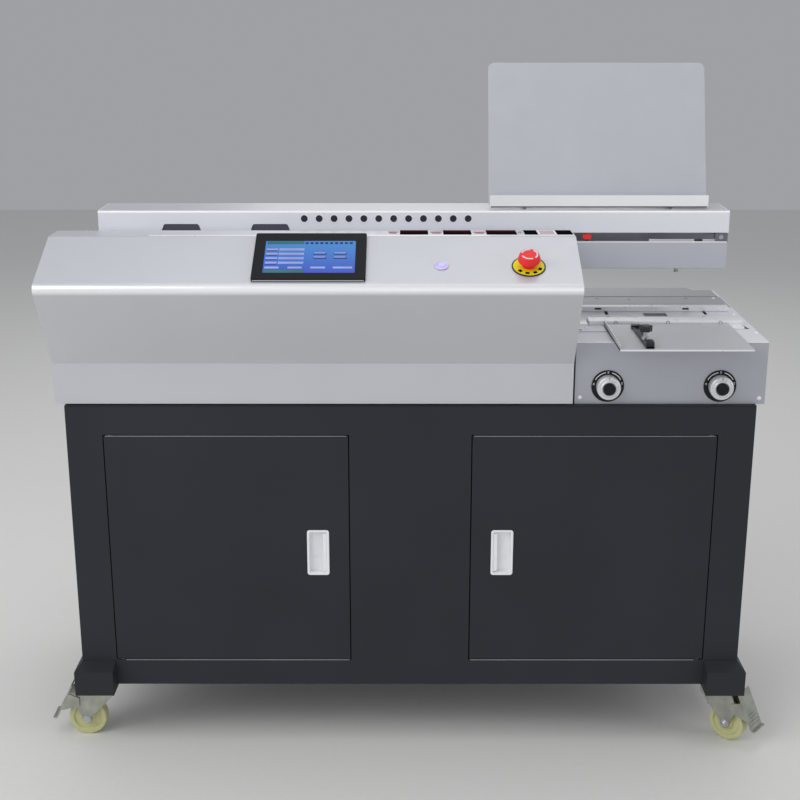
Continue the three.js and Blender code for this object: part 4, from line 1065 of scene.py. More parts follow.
@dataclass
class FrontCover(Assembly):
    """The long hinged cover over the milling and glue stations."""

    left: float = -657.0
    right: float = 300.0
    level: float = 1007.0
    rear: float = 110.0
    fold: float = 43.5
    nose: Flat = (-99.0, 940.5)
    waist: Flat = (4.0, 779.0)
    skirt_foot: float = 702.3
    bends: tuple[float, ...] = (4.0, 14.3, 4.0)
    sheet: float = 2.0
    cheek_depth: float = 26.0
    hinge: Flat = (116.0, 992.0)
    bore: float = 2.3
    barrel: float = 4.0
    barrel_length: float = 40.0
    barrel_starts: tuple[float, ...] = (-579.5, -317.333, -55.167, 207.0)
    label_front: float = 61.0
    label_rear: float = 107.5
    label_plate: tuple[float, ...] = (-475.0, 298.0, 60.0, 108.0, 0.8)
    strip: Flat = (47.0, 58.5)
    label_spans: tuple[Flat, ...] = ((-19.2, 32.4), (60.1, 111.7), (139.4, 194.8), (209.1, 233.0), (268.0, 297.0))
    pale_span: Flat = (233.2, 267.8)
    red_count: int = 3
    rose_first: float = 7.0
    rose_pitch: float = 9.6
    rose_width: float = 3.2
    mark_spans: tuple[Flat, ...] = ((-41.4, -22.9), (36.1, 58.2), (115.4, 137.6), (198.0, 205.0))

    @property
    def outer_line(self) -> list[Flat]:
        """The outside of the bent sheet, from its rear edge to the skirt's foot."""
        corners = [(self.rear, self.level), (self.fold, self.level), self.nose, self.waist,
                   (self.waist[0], self.skirt_foot)]
        return bent_line(corners, list(self.bends))

    def build(self, panel: "ControlPanel") -> None:
        """Builds and dresses the cover.

        Args:
            panel: the control panel, which is let into the cover's slope.
        """
        bench = self.bench
        skin = bench.prism("cover_skin", sheet_section(self.outer_line, self.sheet), (self.left, self.right))
        bench.cut(skin, *panel.openings(bench))
        bench.round_edges(skin, 0.5, 2, 50.0)
        joined = bench.join(skin, *self.cheeks(), *self.barrels())
        bench.finish(joined, Finish.COVER_PAINT, "front_cover", ("front_cover",), 28.0)
        self.build_labels()
        LOG.info("front cover: skin, cheeks, hinge barrels and labels")

    def cheeks(self) -> list[Piece]:
        """Models the folded plates that close the cover's ends.

        Returns:
            The two plates.
        """
        bench = self.bench
        middle = offset_line(self.outer_line, self.sheet / 2)
        inner = [(self.waist[0] + self.cheek_depth, self.skirt_foot + 1.0),
                 (self.waist[0] + self.cheek_depth, self.waist[1]),
                 (self.rear - 1.0, self.level - self.cheek_depth)]
        starts = (self.left + 0.5, self.right - 0.5 - self.sheet)
        return [bench.prism(f"cover_cheek_{i}", middle + inner, (x, x + self.sheet), radius=0.4)
                for i, x in enumerate(starts)]

    def barrels(self) -> list[Piece]:
        """Models the cover's hinge barrels with their leaves.

        Returns:
            Barrels and leaves.
        """
        bench, (y, z) = self.bench, self.hinge
        pieces: list[Piece] = []
        for i, x in enumerate(self.barrel_starts):
            end = x + self.barrel_length
            tube = tube_profile(self.bore, self.barrel, x, end)
            pieces.append(bench.turned(f"cover_barrel_{i}", tube, self.hinge, Axis.X, 24))
            leaf = (y - 11.0, y - 3.0), (z - 2.0, self.level - 1.0)
            pieces.append(bench.block(f"cover_leaf_{i}", (x, end), *leaf, 0.4))
        return pieces

    def build_labels(self) -> None:
        """Adds the plain count windows on the flat top, half black and half dark red."""
        bench, (left, right, front, rear, thick) = self.bench, self.label_plate
        level = self.level + thick
        # The pale strip just behind the fold is a painted highlight for the light that the fold catches.
        for name, depth, surface in (("carrier", (front, rear), Finish.COVER_PAINT),
                                     ("strip", self.strip, Finish.PALE_ALLOY)):
            plate = bench.block(f"count_{name}", (left, right), depth, (self.level, level), 0.3)
            bench.finish(plate, surface, "front_cover")
        depth = (self.label_front, self.label_rear)
        pale = bench.block("count_pale", self.pale_span, depth, (level, level + 0.4), 0.1)
        bench.finish(pale, Finish.LIP_PAINT, "front_cover")
        marks = self.marks(level)
        dark, red = self.windows(level)
        bench.group("count_windows", dark, Finish.LABEL_BLACK, "front_cover")
        bench.group("count_borders", red, Finish.LABEL_RED, "front_cover")
        bench.group("count_marks", marks, Finish.LABEL_ROSE, "front_cover")

    def windows(self, level: float) -> tuple[list[Piece], list[Piece]]:
        """Models the front and rear halves of the count windows.

        Args:
            level: the face of the carrier.

        Returns:
            The black halves and the red ones.
        """
        bench, middle = self.bench, (self.label_front + self.label_rear) / 2
        dark, red = [], []
        for i, (left, right) in enumerate(self.label_spans):
            x, width = (left + right) / 2, right - left
            front, rear = (rounded_rectangle(width, high - low, 1.2, (x, (low + high) / 2))
                           for low, high in ((self.label_front, middle), (middle, self.label_rear)))
            dark.append(bench.prism(f"count_window_{i}", front, (level, level + 0.6), Axis.Z, 0.2))
            border = bench.prism(f"count_border_{i}", rear, (level, level + 0.5), Axis.Z, 0.2)
            (red if i < self.red_count else dark).append(border)
        return dark, red

    def marks(self, level: float) -> list[Piece]:
        """Models the rose rows on the pale field and the marks between the windows.

        Args:
            level: the face of the carrier.

        Returns:
            The marks.
        """
        bench, (low, high) = self.bench, self.pale_span
        middle = (self.label_front + self.label_rear) / 2
        rows = [self.label_front + self.rose_first + i * self.rose_pitch for i in range(4)]
        rose = [bench.block(f"count_rose_{i}", (low + 4.0, high - 4.0), (y, y + self.rose_width),
                            (level + 0.3, level + 0.6), 0.1) for i, y in enumerate(rows)]
        for i, (left, right) in enumerate(self.mark_spans):
            for k, (near, far) in enumerate(((-12.0, -6.0), (0.0, 7.0))):
                inset = 3.0 * (1 - k)
                rose.append(bench.block(f"side_mark_{i}_{k}", (left + inset, right - inset),
                                        (middle + near, middle + far), (level, level + 0.3), 0.1))
        return rose


@dataclass
class ControlPanel(Assembly):
    """Screen, power button and stop button, set square on the cover's slope."""

    slope: float = 25.017
    foot: Point = (0.0, -99.0, 940.5)
    centre: Flat = (-179.0, 89.5)
    size: Flat = (200.0, 141.0)
    corner: float = 4.0
    thickness: float = 6.0
    body_depth: float = 30.0
    body_inset: float = 9.0
    screen: Flat = (162.0, 98.0)
    screen_lift: float = -2.5
    screen_depth: float = 2.5
    row_pitch: float = 13.5
    seat: float = 0.3
    stop_centre: Flat = (207.5, 64.0)
    stop_plate: float = 30.0
    word_angles: tuple[float, ...] = (222.0, 260.0, 298.0, 335.0)
    word_radius: float = 21.4
    arrow_spans: tuple[Flat, ...] = ((81.0, 164.0), (-45.0, 56.0), (200.0, 290.0))
    power_centre: Flat = (54.0, 66.0)

    @property
    def bench(self) -> Bench:
        """The bench on the slope: X along it, Y up it, Z out of it."""
        return Bench.at(self.foot, self.slope)

    def openings(self, cover: Bench) -> list[Piece]:
        """Models what is cut out of the cover for the panel and the buttons.

        Args:
            cover: the cover's bench.

        Returns:
            The tools, on the cover's bench.
        """
        bench = self.bench
        inset = 2.0 * (self.body_inset - self.seat)
        window = rounded_rectangle(self.size[0] - inset, self.size[1] - inset, self.corner, self.centre)
        tools = [bench.prism("panel_mouth", window, (-6.0, 4.0), Axis.Z),
                 bench.bar("stop_mouth", 10.8, (-6.0, 4.0), self.stop_centre, edge=0.1),
                 bench.bar("power_mouth", 10.8, (-6.0, 4.0), self.power_centre, edge=0.1)]
        return [cover.bring(tool, bench) for tool in tools]

    def build(self) -> None:
        """Builds and dresses everything on the slope."""
        self.build_bezel()
        self.build_screen()
        self.build_power()
        self.build_stop()
        LOG.info("control panel: bezel, screen, power and stop buttons")

    def build_bezel(self) -> None:
        """Models the bezel with its raised rim and its body behind the cover."""
        bench, (width, height) = self.bench, self.size
        top = self.seat + self.thickness
        face = bench.prism("bezel_face", rounded_rectangle(width, height, self.corner, self.centre),
                           (self.seat, top), Axis.Z, 1.6, 3, 60.0)
        centre = (self.centre[0], self.centre[1] + self.screen_lift)
        opening = rounded_rectangle(*self.screen, self.corner / 2, centre)
        bench.cut(face, bench.prism("screen_mouth", opening, (top - self.screen_depth, top + 2.0), Axis.Z))
        bench.round_edges(face, 0.5, 2, 60.0)
        inset = 2 * self.body_inset
        back = rounded_rectangle(width - inset, height - inset, self.corner, self.centre)
        body = bench.prism("bezel_body", back, (-self.body_depth, top - self.thickness / 2), Axis.Z, 1.0)
        bench.group("screen_bezel", [face, body], Finish.PANEL_PLASTIC, "front_cover", ("panel_bezel",))
        # Painted highlight: a silver strip along the bezel's lower edge stands in for the light on that edge.
        foot = self.centre[1] - height / 2
        edge_highlight = bench.block("bezel_trim", around(self.centre[0], width / 2 - 3.0), (foot - 0.15, foot + 0.4),
                           (1.9, 3.9), 0.1)
        bench.finish(edge_highlight, Finish.SILVER_PAINT, "front_cover")

    def build_screen(self) -> None:
        """Models the lit screen with plain rows of light bars in place of words."""
        bench, (width, height) = self.bench, self.screen
        x0, y0 = self.centre[0], self.centre[1] + self.screen_lift
        foot = self.seat + self.thickness - self.screen_depth + 0.3
        top = foot + 1.5
        face = rounded_rectangle(width - 0.6, height - 0.6, 2.0, (x0, y0))
        glass = bench.prism("touch_glass", face, (foot, top), Axis.Z, 0.3)
        bench.finish(glass, Finish.SCREEN_GLASS, "front_cover", ("touch_screen",))
        for (name, fields), lift in zip(self.screen_fields().items(), (0.06, 0.10, 0.15)):
            rows = [bench.block(f"screen_{name}_{i}", (x0 + x, x0 + x + wide), around(y0 + y, high / 2),
                                (top - 0.1, top + lift), 0.02) for i, (x, y, wide, high) in enumerate(fields)]
            bench.group(f"screen_{name}", rows, Finish[f"SCREEN_{name.upper()}"], "front_cover")

    def screen_fields(self) -> dict[str, list[tuple[float, ...]]]:
        """The screen's plain fields by colour, measured from the middle of the screen.

        Returns:
            Left end, middle height, width and height of every field.
        """
        steps = [self.row_pitch * r for r in range(4)]
        foot_bars = ((-78.0, 25.0), (-37.5, 25.0), (2.5, 26.0), (42.0, 34.0))
        return {
            "teal": [(-78.0, 43.0, 66.0, 10.0), (-78.0, -43.5, 70.0, 9.5)],
            "navy": [(-9.5 + 8.8 * i, 41.5, 5.4, 6.0) for i in range(10)]
            + [(-78.0, 17.8 - step, 20.0, 2.4) for step in steps]
            + [(x, y, 24.0, 3.4) for x in (6.0, 42.0) for y in (7.6, -5.0)],
            "light": [(-78.0, 22.0 - step, 20.5, 5.8) for step in steps]
            + [(-55.5, 22.0 - step, 45.0, 6.6) for step in steps]
            + [(x, -33.0, wide, 5.4) for x, wide in foot_bars]
            + [(x, y, 20.0, 2.6) for x in (7.0, 43.0) for y in (11.0, -1.5)]}

    def build_power(self) -> None:
        """Models the power button, a metal ring with a violet halo round a metal cap, ring and cap tinted lavender
        as painted light from the halo.
        """
        bench, centre = self.bench, self.power_centre
        collar = [(8.5, -24.0), (10.5, -24.0), (10.5, 0.3), (12.5, 0.3), (12.5, 1.6), (12.0, 2.3), (11.2, 2.6),
                  (9.6, 2.6), (9.0, 2.2), (8.5, 1.4), (8.5, -24.0)]
        lamp = [(0.0, -12.0), (8.2, -12.0), (8.2, 2.0), (7.9, 2.4), (6.6, 2.5), (0.0, 2.5)]
        dome = [(0.0, 2.4), (6.4, 2.4), (6.4, 2.9), (6.0, 3.2), (3.0, 3.1), (0.0, 3.0)]
        ring = bench.turned("power_ring", collar, centre)
        bench.finish(ring, Finish.LAVENDER_ALLOY, "front_cover", ("power_button_ring",))
        halo = bench.turned("power_halo", lamp, centre)
        bench.finish(halo, Finish.VIOLET_GLOW, "power_button", ("power_button",))
        cap = bench.turned("power_cap", dome, centre)
        bench.finish(cap, Finish.LAVENDER_ALLOY, "power_button")

    def build_stop(self) -> None:
        """Models the stop button with its yellow plate, black rim and plain marks."""
        bench, centre = self.bench, self.stop_centre
        r = self.stop_plate
        disc = [(10.8, 0.3), (r - 2.2, 0.3), (r - 2.2, 1.5), (r - 2.6, 1.8), (10.8, 1.8), (10.8, 0.3)]
        edge = [(r - 2.3, 0.3), (r, 0.3), (r, 1.7), (r - 0.4, 1.95), (r - 2.0, 1.95), (r - 2.3, 1.7),
                (r - 2.3, 0.3)]
        plate = bench.turned("stop_disc", disc, centre, steps=64)
        bench.finish(plate, Finish.SIGNAL_YELLOW, "front_cover", ("stop_plate",))
        rim = bench.turned("stop_rim", edge, centre, steps=64)
        bench.finish(rim, Finish.BLACK_PLASTIC, "front_cover")
        words: list[Piece] = []
        for i, angle in enumerate(self.word_angles):
            turn = math.radians(angle)
            x, y = centre[0] + self.word_radius * math.cos(turn), centre[1] + self.word_radius * math.sin(turn)
            mark = bench.block(f"stop_mark_{i}", around(x, 3.6), around(y, 3.0), (1.7, 2.0), 0.05)
            words.append(bench.copy(mark, f"stop_word_{i}", turn=angle + 90.0, about=(x, y, 0.0)))
            bench.discard(mark)
        bench.group("stop_marks", words, Finish.LABEL_BLACK, "front_cover")
        mushroom = [(0.0, -26.0), (10.5, -26.0), (10.5, 7.0), (13.0, 7.0), (14.0, 7.8), (14.0, 10.0),
                    (16.5, 11.6), (19.2, 13.0), (20.0, 14.6), (20.0, 17.0), (19.4, 19.2), (18.2, 23.6),
                    (17.5, 25.6), (16.6, 26.6), (15.8, 26.9), (0.0, 26.9)]
        head = bench.turned("stop_head", mushroom, centre, steps=64)
        bench.finish(head, Finish.SIGNAL_RED, "stop_button", ("stop_button",), 40.0)
        bands = [arc(centre, 15.1, start, end, 12) + arc(centre, 12.3, end, start, 12)
                 for start, end in self.arrow_spans]
        arrows = [bench.prism(f"stop_arc_{i}", band, (26.4, 27.4), Axis.Z, 0.15) for i, band in enumerate(bands)]
        bench.group("stop_arrows", arrows, Finish.WHITE_PRINT, "stop_button")


@dataclass
class Beam(Assembly):
    """The sheet cover of the beam that the clamp runs along."""

    left: float = -595.0
    right: float = 609.0
    front: float = 179.0
    rear: float = 284.5
    level: float = 1033.6
    face_foot: float = 992.0
    back_foot: float = 910.0
    bend: float = 4.0
    sheet: float = 2.0
    hole_radius: float = 7.5
    hole_first: float = -201.8
    hole_pitch: float = 28.4
    hole_count: int = 12
    hole_level: float = 1018.8
    window_centres: Flat = (-437.0, -267.0)
    window_widths: Flat = (78.0, 66.0)
    window_height: float = 16.4
    screw_x: tuple[float, ...] = (-560.0, -280.0, 0.0, 280.0, 560.0)
    screw_level: float = 930.0

    @property
    def line(self) -> list[Flat]:
        """The outside of the folded cover, from the foot of its face over the top to the back."""
        corners = [(self.front, self.face_foot), (self.front, self.level), (self.rear, self.level),
                   (self.rear, self.back_foot)]
        return bent_line(corners, [self.bend, self.bend])

    def build(self) -> None:
        """Builds and dresses the cover."""
        bench = self.bench
        skin = bench.prism("beam_skin", sheet_section(self.line, -self.sheet), (self.left, self.right))
        bench.cut(skin, *self.openings())
        bench.round_edges(skin, 0.5, 2, 50.0)
        end = bench.prism("beam_end", offset_line(self.line, -self.sheet / 2),
                          (self.left + 0.5, self.left + 0.5 + self.sheet), radius=0.4)
        joined = bench.join(skin, end)
        bench.finish(joined, Finish.BEAM_PAINT, "machine", ("beam_cover",), 28.0)
        # Painted shade: a thin plate in darker silver paint over the beam's top makes the top darker than the
        # face.
        plate = bench.block("beam_top_plate", (self.left + 1.5, self.right - 1.5),
                            (self.front + 3.0, self.rear - 3.0), (self.level - 0.2, self.level + 0.22), 0.08)
        bench.finish(plate, Finish.SILVER_PAINT, "machine")
        self.build_grommets()
        self.build_shutters()
        places = [(x, self.rear, self.screw_level) for x in self.screw_x]
        bench.screws("beam_screws", places, Axis.Y, 1.0, 4.0, Finish.ZINC_STEEL, "machine")
        LOG.info("beam: cover, rimmed holes and shutters")

    def openings(self) -> list[Piece]:
        """Models the round holes and the two shallow windows that are cut out of the face.

        Returns:
            The tools.
        """
        bench = self.bench
        depth = (self.front - 2.0, self.front + self.sheet + 2.0)
        hole = bench.bar("hole_0", self.hole_radius, depth, (self.hole_first, self.hole_level), Axis.Y, 0.1)
        tools = bench.row(hole, "hole", self.hole_pitch, self.hole_count)
        wide, narrow = (w / 2 for w in self.window_widths)
        for i, x in enumerate(self.window_centres):
            top = self.face_foot + self.window_height
            sides = [(x + wide, self.face_foot), (x + narrow, top), (x - narrow, top), (x - wide, self.face_foot)]
            outline = [(x - wide, self.face_foot - 2.0), (x + wide, self.face_foot - 2.0)] \
                + bent_line(sides, [5.0, 5.0], 4)
            tools.append(bench.prism(f"window_{i}", outline, depth, Axis.Y))
        return tools

    def build_grommets(self) -> None:
        """Sets a bright rim round every hole and a dark plug into it."""
        bench = self.bench
        radius, front = self.hole_radius, self.front
        ring = [(radius - 0.9, front - 0.4), (radius + 0.7, front - 0.4), (radius + 1.0, front - 0.1),
                (radius + 1.0, front + 0.1), (radius - 0.9, front + 1.5), (radius - 0.9, front - 0.4)]
        disc = [(0.0, front + 0.3), (radius - 1.2, front + 0.3), (radius - 0.9, front + 0.6),
                (radius - 0.9, front + 1.8), (0.0, front + 1.8)]
        for name, profile, surface in (("rim", ring, Finish.PALE_ALLOY), ("plug", disc, Finish.BLUE_BLACK)):
            first = bench.turned(f"{name}_0", profile, (self.hole_first, self.hole_level), Axis.Y, 28)
            pieces = bench.row(first, name, self.hole_pitch, self.hole_count)
            bench.group(f"beam_hole_{name}s", pieces, surface, "machine")

    def build_shutters(self) -> None:
        """Sets dark sheets behind the face in the windows: painted shade where the inside lies in shadow."""
        bench = self.bench
        wide, narrow = (w / 2 + 3.0 for w in self.window_widths)
        back = self.front + self.sheet + 0.3
        shade_sheets: list[Piece] = []
        for i, x in enumerate(self.window_centres):
            top = self.face_foot + self.window_height + 3.0
            outline = [(x - wide, self.face_foot + 0.5), (x + wide, self.face_foot + 0.5), (x + narrow, top),
                       (x - narrow, top)]
            shade_sheets.append(bench.prism(f"shutter_{i}", outline, (back, back + 1.5), Axis.Y, 0.4))
        bench.group("beam_shutters", shade_sheets, Finish.SHUTTER_PAINT, "machine")


@dataclass
class Clamp(Assembly):
    """The sliding book clamp under the beam's right half."""

    left: float = 188.0
    right: float = 608.0
    front: float = 179.0
    thickness: float = 14.0
    foot: float = 922.6
    top: float = 975.0
    lug_top: float = 990.5
    lug: float = 24.0
    rod_inset: float = 12.0
    rod_level: float = 983.0
    rod_bore: float = 5.3
    scale_bar: Flat = (457.6, 593.7)
    knob_x: float = 339.0
    knob_level: float = 984.0
    nub_x: float = 514.0

    def build(self) -> None:
        """Builds and dresses the jaw and what sits on it."""
        bench = self.bench
        depth = (self.front, self.front + self.thickness)
        jaw = bench.block("jaw_plate", (self.left, self.right), depth, (self.foot, self.top))
        rods = (self.left + self.rod_inset, self.right - self.rod_inset)
        lugs = [bench.block(f"jaw_lug_{i}", (max(x - self.lug / 2, self.left), min(x + self.lug / 2, self.right)),
                            depth, (self.top - 2.0, self.lug_top), 0.8) for i, x in enumerate(rods)]
        bench.round_edges(jaw, 1.2, 3)
        bores = [bench.bar(f"jaw_bore_{i}", self.rod_bore, (depth[0] - 2.0, depth[1] + 2.0), (x, self.rod_level),
                           Axis.Y, 0.1) for i, x in enumerate(rods)]
        # Painted shade: the lugs take the dark shaded paint for the shade that they sit in.
        bench.group("clamp_jaw_lugs", [bench.cut(bench.join(*lugs), *bores)], Finish.SHADED_PAINT, "clamp_jaw")
        bench.finish(jaw, Finish.JAW_PAINT, "clamp_jaw", ("clamp_jaw",))
        # Painted highlight: a pale strip along the jaw's top front edge stands in for the light that it catches.
        edge = bench.block("jaw_bright_edge", (self.left + 1.5, self.right - 1.5),
                           (self.front - 0.15, self.front + 1.5), (self.top - 2.2, self.top + 0.15), 0.1)
        bench.finish(edge, Finish.PALE_ALLOY, "clamp_jaw")
        self.build_fittings()
        LOG.info("clamp: jaw, scale bar, red knob and stop")

    def build_fittings(self) -> None:
        """Adds the bar on the jaw with its oval, the red knob in the slot and the stud below."""
        bench = self.bench
        middle = self.front + self.thickness / 2
        scale = bench.block("jaw_scale_bar", self.scale_bar, (self.front + 2.0, self.front + 10.0),
                            (self.top - 0.4, self.top + 4.6), 0.8)
        bench.finish(scale, Finish.SATIN_STEEL, "clamp_jaw")
        oval = bench.prism("jaw_oval", rounded_rectangle(17.0, 4.0, 1.9, (552.5, self.top + 2.3)),
                           (self.front + 1.4, self.front + 4.0), Axis.Y, 0.3)
        bench.finish(oval, Finish.BLACK_PLASTIC, "clamp_jaw")
        outline = rounded_rectangle(18.0, 10.0, 4.9, (self.knob_x, self.knob_level))
        knob = bench.prism("clamp_red_knob", outline, (middle - 6.4, middle + 1.0), Axis.Y, 1.6, 3, 50.0)
        bench.finish(knob, Finish.SIGNAL_RED, "clamp_jaw")
        post = bench.block("clamp_knob_post", around(self.knob_x, 4.0), (middle, middle + 5.0),
                           (self.top - 0.4, self.knob_level + 2.0), 0.6)
        bench.finish(post, Finish.DARK_STEEL, "clamp_jaw")
        steps = ((0.0, 1.0), (3.2, 1.0), (3.2, -4.0), (4.4, -4.6), (4.4, -7.0), (3.4, -7.8), (0.0, -7.8))
        stud = bench.turned("jaw_stud", [(r, self.foot + z) for r, z in steps], (self.nub_x, middle), steps=24)
        bench.finish(stud, Finish.ZINC_STEEL, "clamp_jaw")


@dataclass
class BookRest(Assembly):
    """The tall leaning board with its lipped ledge above the beam."""

    left: float = 152.0
    width: float = 420.0
    setback: float = 219.0
    level: float = 1040.6
    lift: float = 7.0
    lean: float = 20.0
    length: float = 278.0
    ledge: float = 19.0
    lip: float = 20.0
    corner: float = 12.0
    sheet: float = 2.0
    gusset: float = 60.0
    gusset_depth: float = 52.0
    gusset_inset: float = 70.0

    @property
    def bench(self) -> Bench:
        """The bench at the left end of the ledge's foot."""
        return Bench.at((self.left, self.setback, self.level))

    def build(self) -> None:
        """Builds and dresses the rest."""
        bench = self.bench
        lean = math.radians(self.lean)
        up = (self.sheet * math.cos(lean) + self.length * math.sin(lean),
              self.length * math.cos(lean) - self.sheet * math.sin(lean))
        corners = [(-self.ledge, self.lip), (-self.ledge, 0.0), (self.sheet, 0.0), up]
        line = bent_line(corners, [2.6, 2.6], 4)
        board = bench.prism("rest_board", sheet_section(line, self.sheet), (0.0, self.width))
        self.round_corners(board, up)
        bench.round_edges(board, 0.6, 2, 50.0)
        bench.finish(board, Finish.BOARD_PAINT, "machine", ("book_rest",), 28.0)
        # Painted highlight: a lighter copy of the board's paint over the lip's front face, which is bent from the
        # same sheet.
        face = bench.block("rest_lip_face", (0.6, self.width - 0.6), (-self.ledge - 0.35, -self.ledge + 0.2),
                           (-1.4, self.lip - 0.3), 0.15)
        bench.finish(face, Finish.LIP_PAINT, "machine")
        # Painted shadow: a dark strip under the ledge stands in for the shadow in the gap above the beam.
        shadow_strip = bench.block("rest_gasket", (3.0, self.width - 3.0), (-self.ledge + 0.3, -self.ledge + 5.0),
                             (-3.6, -0.1), 0.3)
        bench.finish(shadow_strip, Finish.BLUE_BLACK, "machine")
        self.build_gussets()
        LOG.info("book rest: board, lip and gussets")

    def round_corners(self, board: Piece, up: Flat) -> None:
        """Rounds the board's two top corners.

        Args:
            board: the folded board.
            up: the middle of the board's top edge, as Y and Z.
        """
        Bench.pick(board)
        with Bench.editing():
            Bench.pick_edges(board, lambda middle, way: middle.z > up[1] - 3.0 and abs(way.x) < 0.1
                             and min(middle.x, self.width - middle.x) < 1.0)
            bpy.ops.mesh.bevel(offset=self.corner * MM, segments=8, affect="EDGES")

    def build_gussets(self) -> None:
        """Models the two feet behind the board."""
        bench = self.bench
        back = math.tan(math.radians(self.lean)) * self.gusset
        foot, front, rear = 0.3 - self.lift, -self.ledge / 2, self.gusset_depth
        outline = [(front, foot), (rear, foot), (rear, 2.0), (back + 2.0, self.gusset), (1.6, 1.6), (front, 1.6)]
        first = bench.prism("rest_gusset", outline, around(self.gusset_inset, 1.5), radius=0.5)
        twin = bench.copy(first, "rest_gusset_2", (self.width - 2 * self.gusset_inset, 0.0, 0.0))
        bench.group("rest_gussets", [first, twin], Finish.BOARD_PAINT, "machine")


